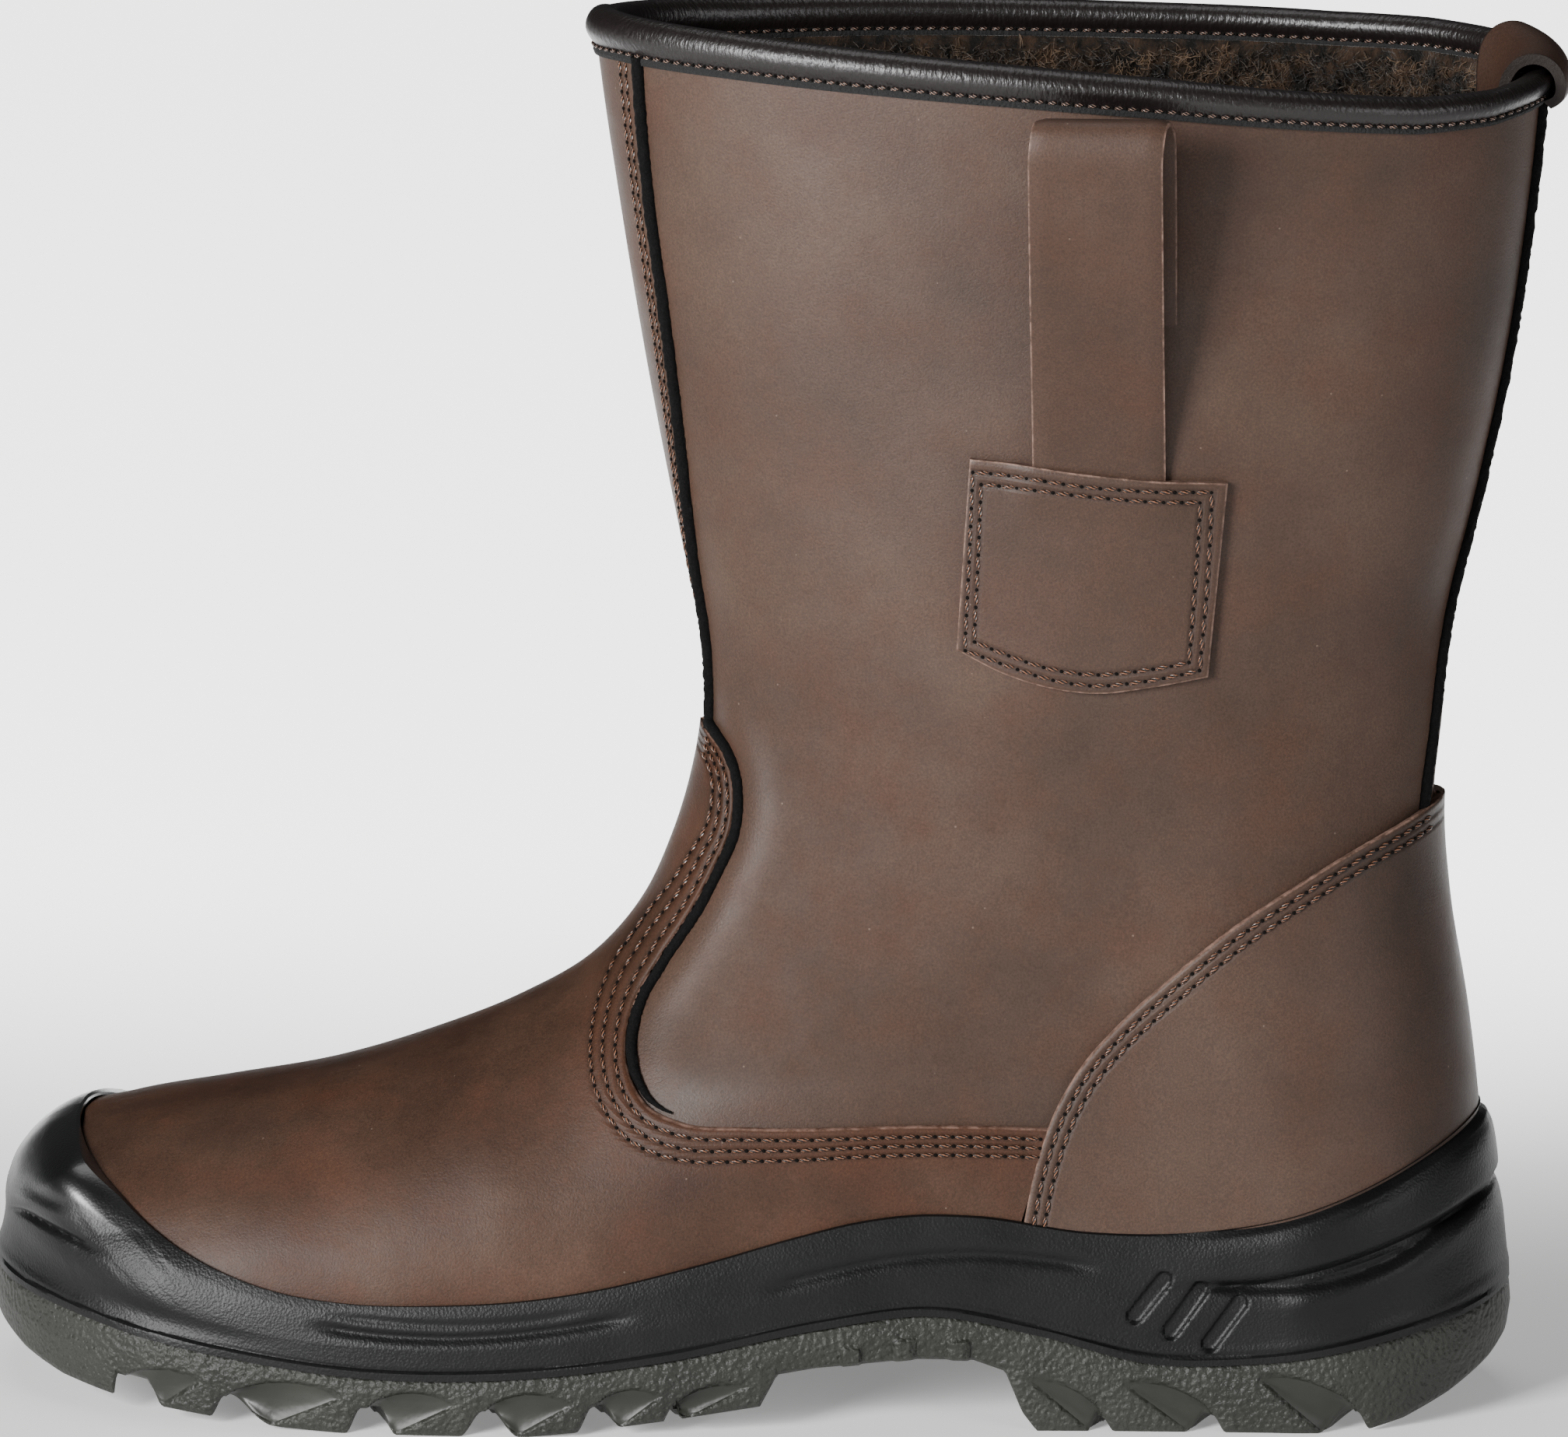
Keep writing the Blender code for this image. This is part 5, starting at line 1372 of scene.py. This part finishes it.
def sew(name, lines, thread, slot, pitch=STITCH_PITCH, long=2.7, wide=0.85, high=0.7):
    """Piece of stitches along lines of points with outward directions."""
    points, edges, outs = [], [], []
    for path, out in lines:
        low = len(points)
        points += ((path - ORIGIN) * MM).tolist()
        outs += out.tolist()
        edges += [(low + i, low + i + 1) for i in range(len(path) - 1)]
    mesh = bpy.data.meshes.new(name)
    mesh.from_pydata(points, edges, [])
    layer = mesh.attributes.new("out", "FLOAT_VECTOR", "POINT")
    layer.data.foreach_set("vector", np.ravel(np.array(outs, np.float32)))
    sizes = {"Pitch": pitch * MM, "Long": long * MM, "Wide": wide * MM, "High": high * MM}
    place(plain(name, mesh, SEWN, {**sizes, "Thread": thread, "Hole": hole_shadow}), slot)


def build_overlay_stitches():
    """Rows along the edges of vamp, counter and patches."""
    lines = []
    for row in vamp_rows:
        deep, _ = nearest(DORSAL_LINE, -1.0, row[:, 0], row[:, 1])
        shows = row[(row[:, 0] < 215.6) & (deep > CLEAR_OF_RIDGE)]
        lines += [on_leather(shows, side, VAMP_THICK + ON_TOP) for side in (LATERAL, MEDIAL)]
    sew("vamp_stitching", lines, brown_thread, "leather")
    lines = []
    for row in counter_rows:
        deep, _ = nearest(BACK_LINE, 1.0, row[:, 0], row[:, 1])
        shows = row[(row[:, 1] > follow(CUP_LINE, row[:, 0]) + 0.5) & (deep > CLEAR_OF_RIDGE)]
        lines += [on_leather(shows, side, COUNTER_THICK + ON_TOP) for side in (LATERAL, MEDIAL)]
    sew("counter_stitching", lines, brown_thread, "leather")
    for side, label in SIDES:
        lines = []
        for row in patch_rows:
            step = 0.5 / math.floor(run_of(row)[-1] / STITCH_PITCH)
            run = along_line(row, np.linspace(step, 1.0 - step, 40))
            lines.append(on_leather(run, side, 2.1 + strap_swell(run[:, 0], run[:, 1])))
        sew(f"patch_{label}_stitching", lines, brown_thread, "leather")


def build_seam_stitches():
    """The binding's seam outside and inside, and the rows beside the front and back piping."""
    lines = []
    for grow, outward in ((0.85, 0.5), (-4.15, -0.5)):
        ring, wall = (level(1.0 + BINDING_SEAM / COLLAR_RUN, g, 160) for g in (grow, grow + outward))
        ring, wall = (np.concatenate([rows, rows[:1]]) for rows in (ring, wall))
        lines.append((ring, unit(wall - ring)))
    sew("binding_stitching", lines, copper_thread, "binding", 2.65, 1.8, 0.75, 0.85)
    lines = []
    for _, table, line, inward, shifts in SHAFT_SEAMS:
        rows = smooth(table, 160)
        for shift in shifts:
            y = rows[:, 1] + shift
            at = seam_point(line, inward, rows[:, 0], np.minimum(y, -0.4))
            keep = (y < -0.6) & (rows[:, 0] < 270.0 + 6.0 * (inward > 0.0))
            if keep.sum() > 8:
                lines.append(on_leather(np.stack([at, rows[:, 0]], 1)[keep], LATERAL, 0.15))
    sew("seam_stitching", lines, brown_thread, "leather")


# Fleece lining
FLEECE_COLUMNS = 130
FLEECE_LOW = 0.03
FLEECE_TOP = 0.984
FIBRE_DENSITY = 1520000.0
FIBRE_LONG = 1.9


def lumps(points, size):
    """Soft irregular lumps of about one size, from -1 to 1."""
    p = points / size
    one = np.sin(p @ (1.9, 3.1, 2.3) + 1.3 * np.sin(p @ (-2.2, 1.4, 1.1)))
    two = np.sin(p @ (-2.6, 0.7, 3.3) + 1.1 * np.sin(p @ (1.2, 2.9, -1.7)) + 2.0)
    return 0.5 * (one + two)


def fleece_ring(share):
    """Ring of the fleece's lumpy face."""
    base = level(share, -WALL - 2.0, FLEECE_COLUMNS)
    inner = level(share, -WALL - 3.0, FLEECE_COLUMNS) - base
    lift = 1.0 * lumps(base, 11.0) + 1.2 * lumps(base, 4.6)
    return base + inner * lift[:, None] * min(1.0, (1.0 - share) * 40.0)


def build_fleece():
    """Lumpy base inside the shaft, and loose bent fibres near the collar where they show."""
    around = 2 * FLEECE_COLUMNS
    shares = np.concatenate([np.linspace(FLEECE_LOW, 0.78, 40)[:-1], np.linspace(0.78, FLEECE_TOP, 46)])
    rings = [fleece_ring(share) for share in shares]
    rings += [level(share, -WALL - 0.1, FLEECE_COLUMNS) for share in np.linspace(FLEECE_TOP, FLEECE_LOW, 24)]
    place(piece("fleece_base", np.concatenate(rings), quads(len(rings), around, True, True), pile), "leather")
    rings = [fleece_ring(share) for share in np.linspace(0.925, 0.976, 14)]
    points = (np.concatenate(rings) - ORIGIN) * MM
    mesh = bpy.data.meshes.new("fleece_skin")
    mesh.from_pydata(points.tolist(), [], quads(len(rings), around, False, True).tolist())
    settings = {"Density": FIBRE_DENSITY, "Size": FIBRE_LONG * MM, "Wool": wool}
    place(plain("fleece_fibres", mesh, fibre_group(), settings), "leather")


# Camera as in the photo, floor and light, in metres
SENSOR = 36.0
PHOTO_WIDTH = 2016.0
PX_PER_MM = 6.29
CAMERA_AWAY = 2.6
AZIMUTH = math.radians(4.0)
ELEVATION = math.radians(12.0)
CAMERA_AIM = np.array([0.0026, 0.0, 0.1385])
LIGHT_AIM = np.array([0.0, 0.0, 0.12])
# Soft boxes: name, place, size, power
SOFT_BOXES = (
    ("key", (-1.41, -1.94, 0.85), 0.95, 134.0),
    ("fill", (1.9, -1.5, 0.8), 1.2, 19.0),
    ("top", (-0.2, 0.5, 2.4), 1.2, 12.0),
)


def floor_paper():
    """Pale studio paper: matt, glowing behind the boot so that it passes into a light ground."""
    made, tree, shader, spot = blank("pale floor paper", Base_Color=linear("#fafafa"), Roughness=0.95,
                                     Emission_Color=linear("#ffffff"))
    across = node(tree, "ShaderNodeSeparateXYZ", {0: spot})
    glow = node(tree, "ShaderNodeMapRange", {"Value": across.outputs[1], "From Min": 0.06, "From Max": 0.5,
                                             "To Min": 0.25, "To Max": 3.0}, interpolation_type="SMOOTHSTEP")
    aside = node(tree, "ShaderNodeMath", {0: across.outputs[0]}, operation="ABSOLUTE")
    strip = node(tree, "ShaderNodeMapRange", {"Value": aside.outputs[0], "From Min": 0.45, "From Max": 0.75,
                                              "To Min": 1.0, "To Max": 0.1}, interpolation_type="SMOOTHSTEP")
    glow = node(tree, "ShaderNodeMath", {0: glow.outputs[0], 1: strip.outputs[0]}, operation="MULTIPLY")
    tree.links.new(glow.outputs[0], shader.inputs["Emission Strength"])
    return made


def build_studio():
    """Camera, pale floor, dim surroundings and soft boxes."""
    scene = bpy.context.scene
    lens = bpy.data.cameras.new("camera")
    lens.sensor_width = SENSOR
    lens.lens = SENSOR * PX_PER_MM * CAMERA_AWAY / MM / PHOTO_WIDTH
    lens.clip_end = 50.0
    camera = shown("camera", lens)
    flat = math.cos(ELEVATION)
    back = np.array([math.sin(AZIMUTH) * flat, -math.cos(AZIMUTH) * flat, math.sin(ELEVATION)])
    camera.location = CAMERA_AIM + CAMERA_AWAY * back
    camera.rotation_euler = (math.pi / 2.0 - ELEVATION, 0.0, AZIMUTH)
    scene.camera = camera
    mesh = bpy.data.meshes.new("studio_floor")
    mesh.from_pydata([(-6, -6, 0), (6, -6, 0), (6, 6, 0), (-6, 6, 0)], [], [(0, 1, 2, 3)])
    mesh.materials.append(floor_paper())
    shown("studio_floor", mesh)
    world = bpy.data.worlds.new("studio")
    world.use_nodes = True
    sky = world.node_tree.nodes["Background"].inputs
    sky["Color"].default_value = linear("#f4f5f6")
    sky["Strength"].default_value = 0.05
    scene.world = world
    for name, spot, size, power in SOFT_BOXES:
        lamp = bpy.data.lights.new(name, "AREA")
        lamp.shape = "SQUARE"
        lamp.size = size
        lamp.energy = power
        box = shown(name, lamp)
        box.location = spot
        aim = LIGHT_AIM - np.array(spot)
        tilt = math.atan2(math.hypot(aim[0], aim[1]), -aim[2])
        box.rotation_euler = (tilt, 0.0, math.atan2(aim[1], aim[0]) - math.pi / 2.0)


build_upper()
build_vamp()
build_counter()
build_binding()
build_midsole()
build_outsole()
build_insole()
build_piping()
build_patches_and_straps()
build_loop()
build_overlay_stitches()
build_seam_stitches()
build_fleece()
build_studio()
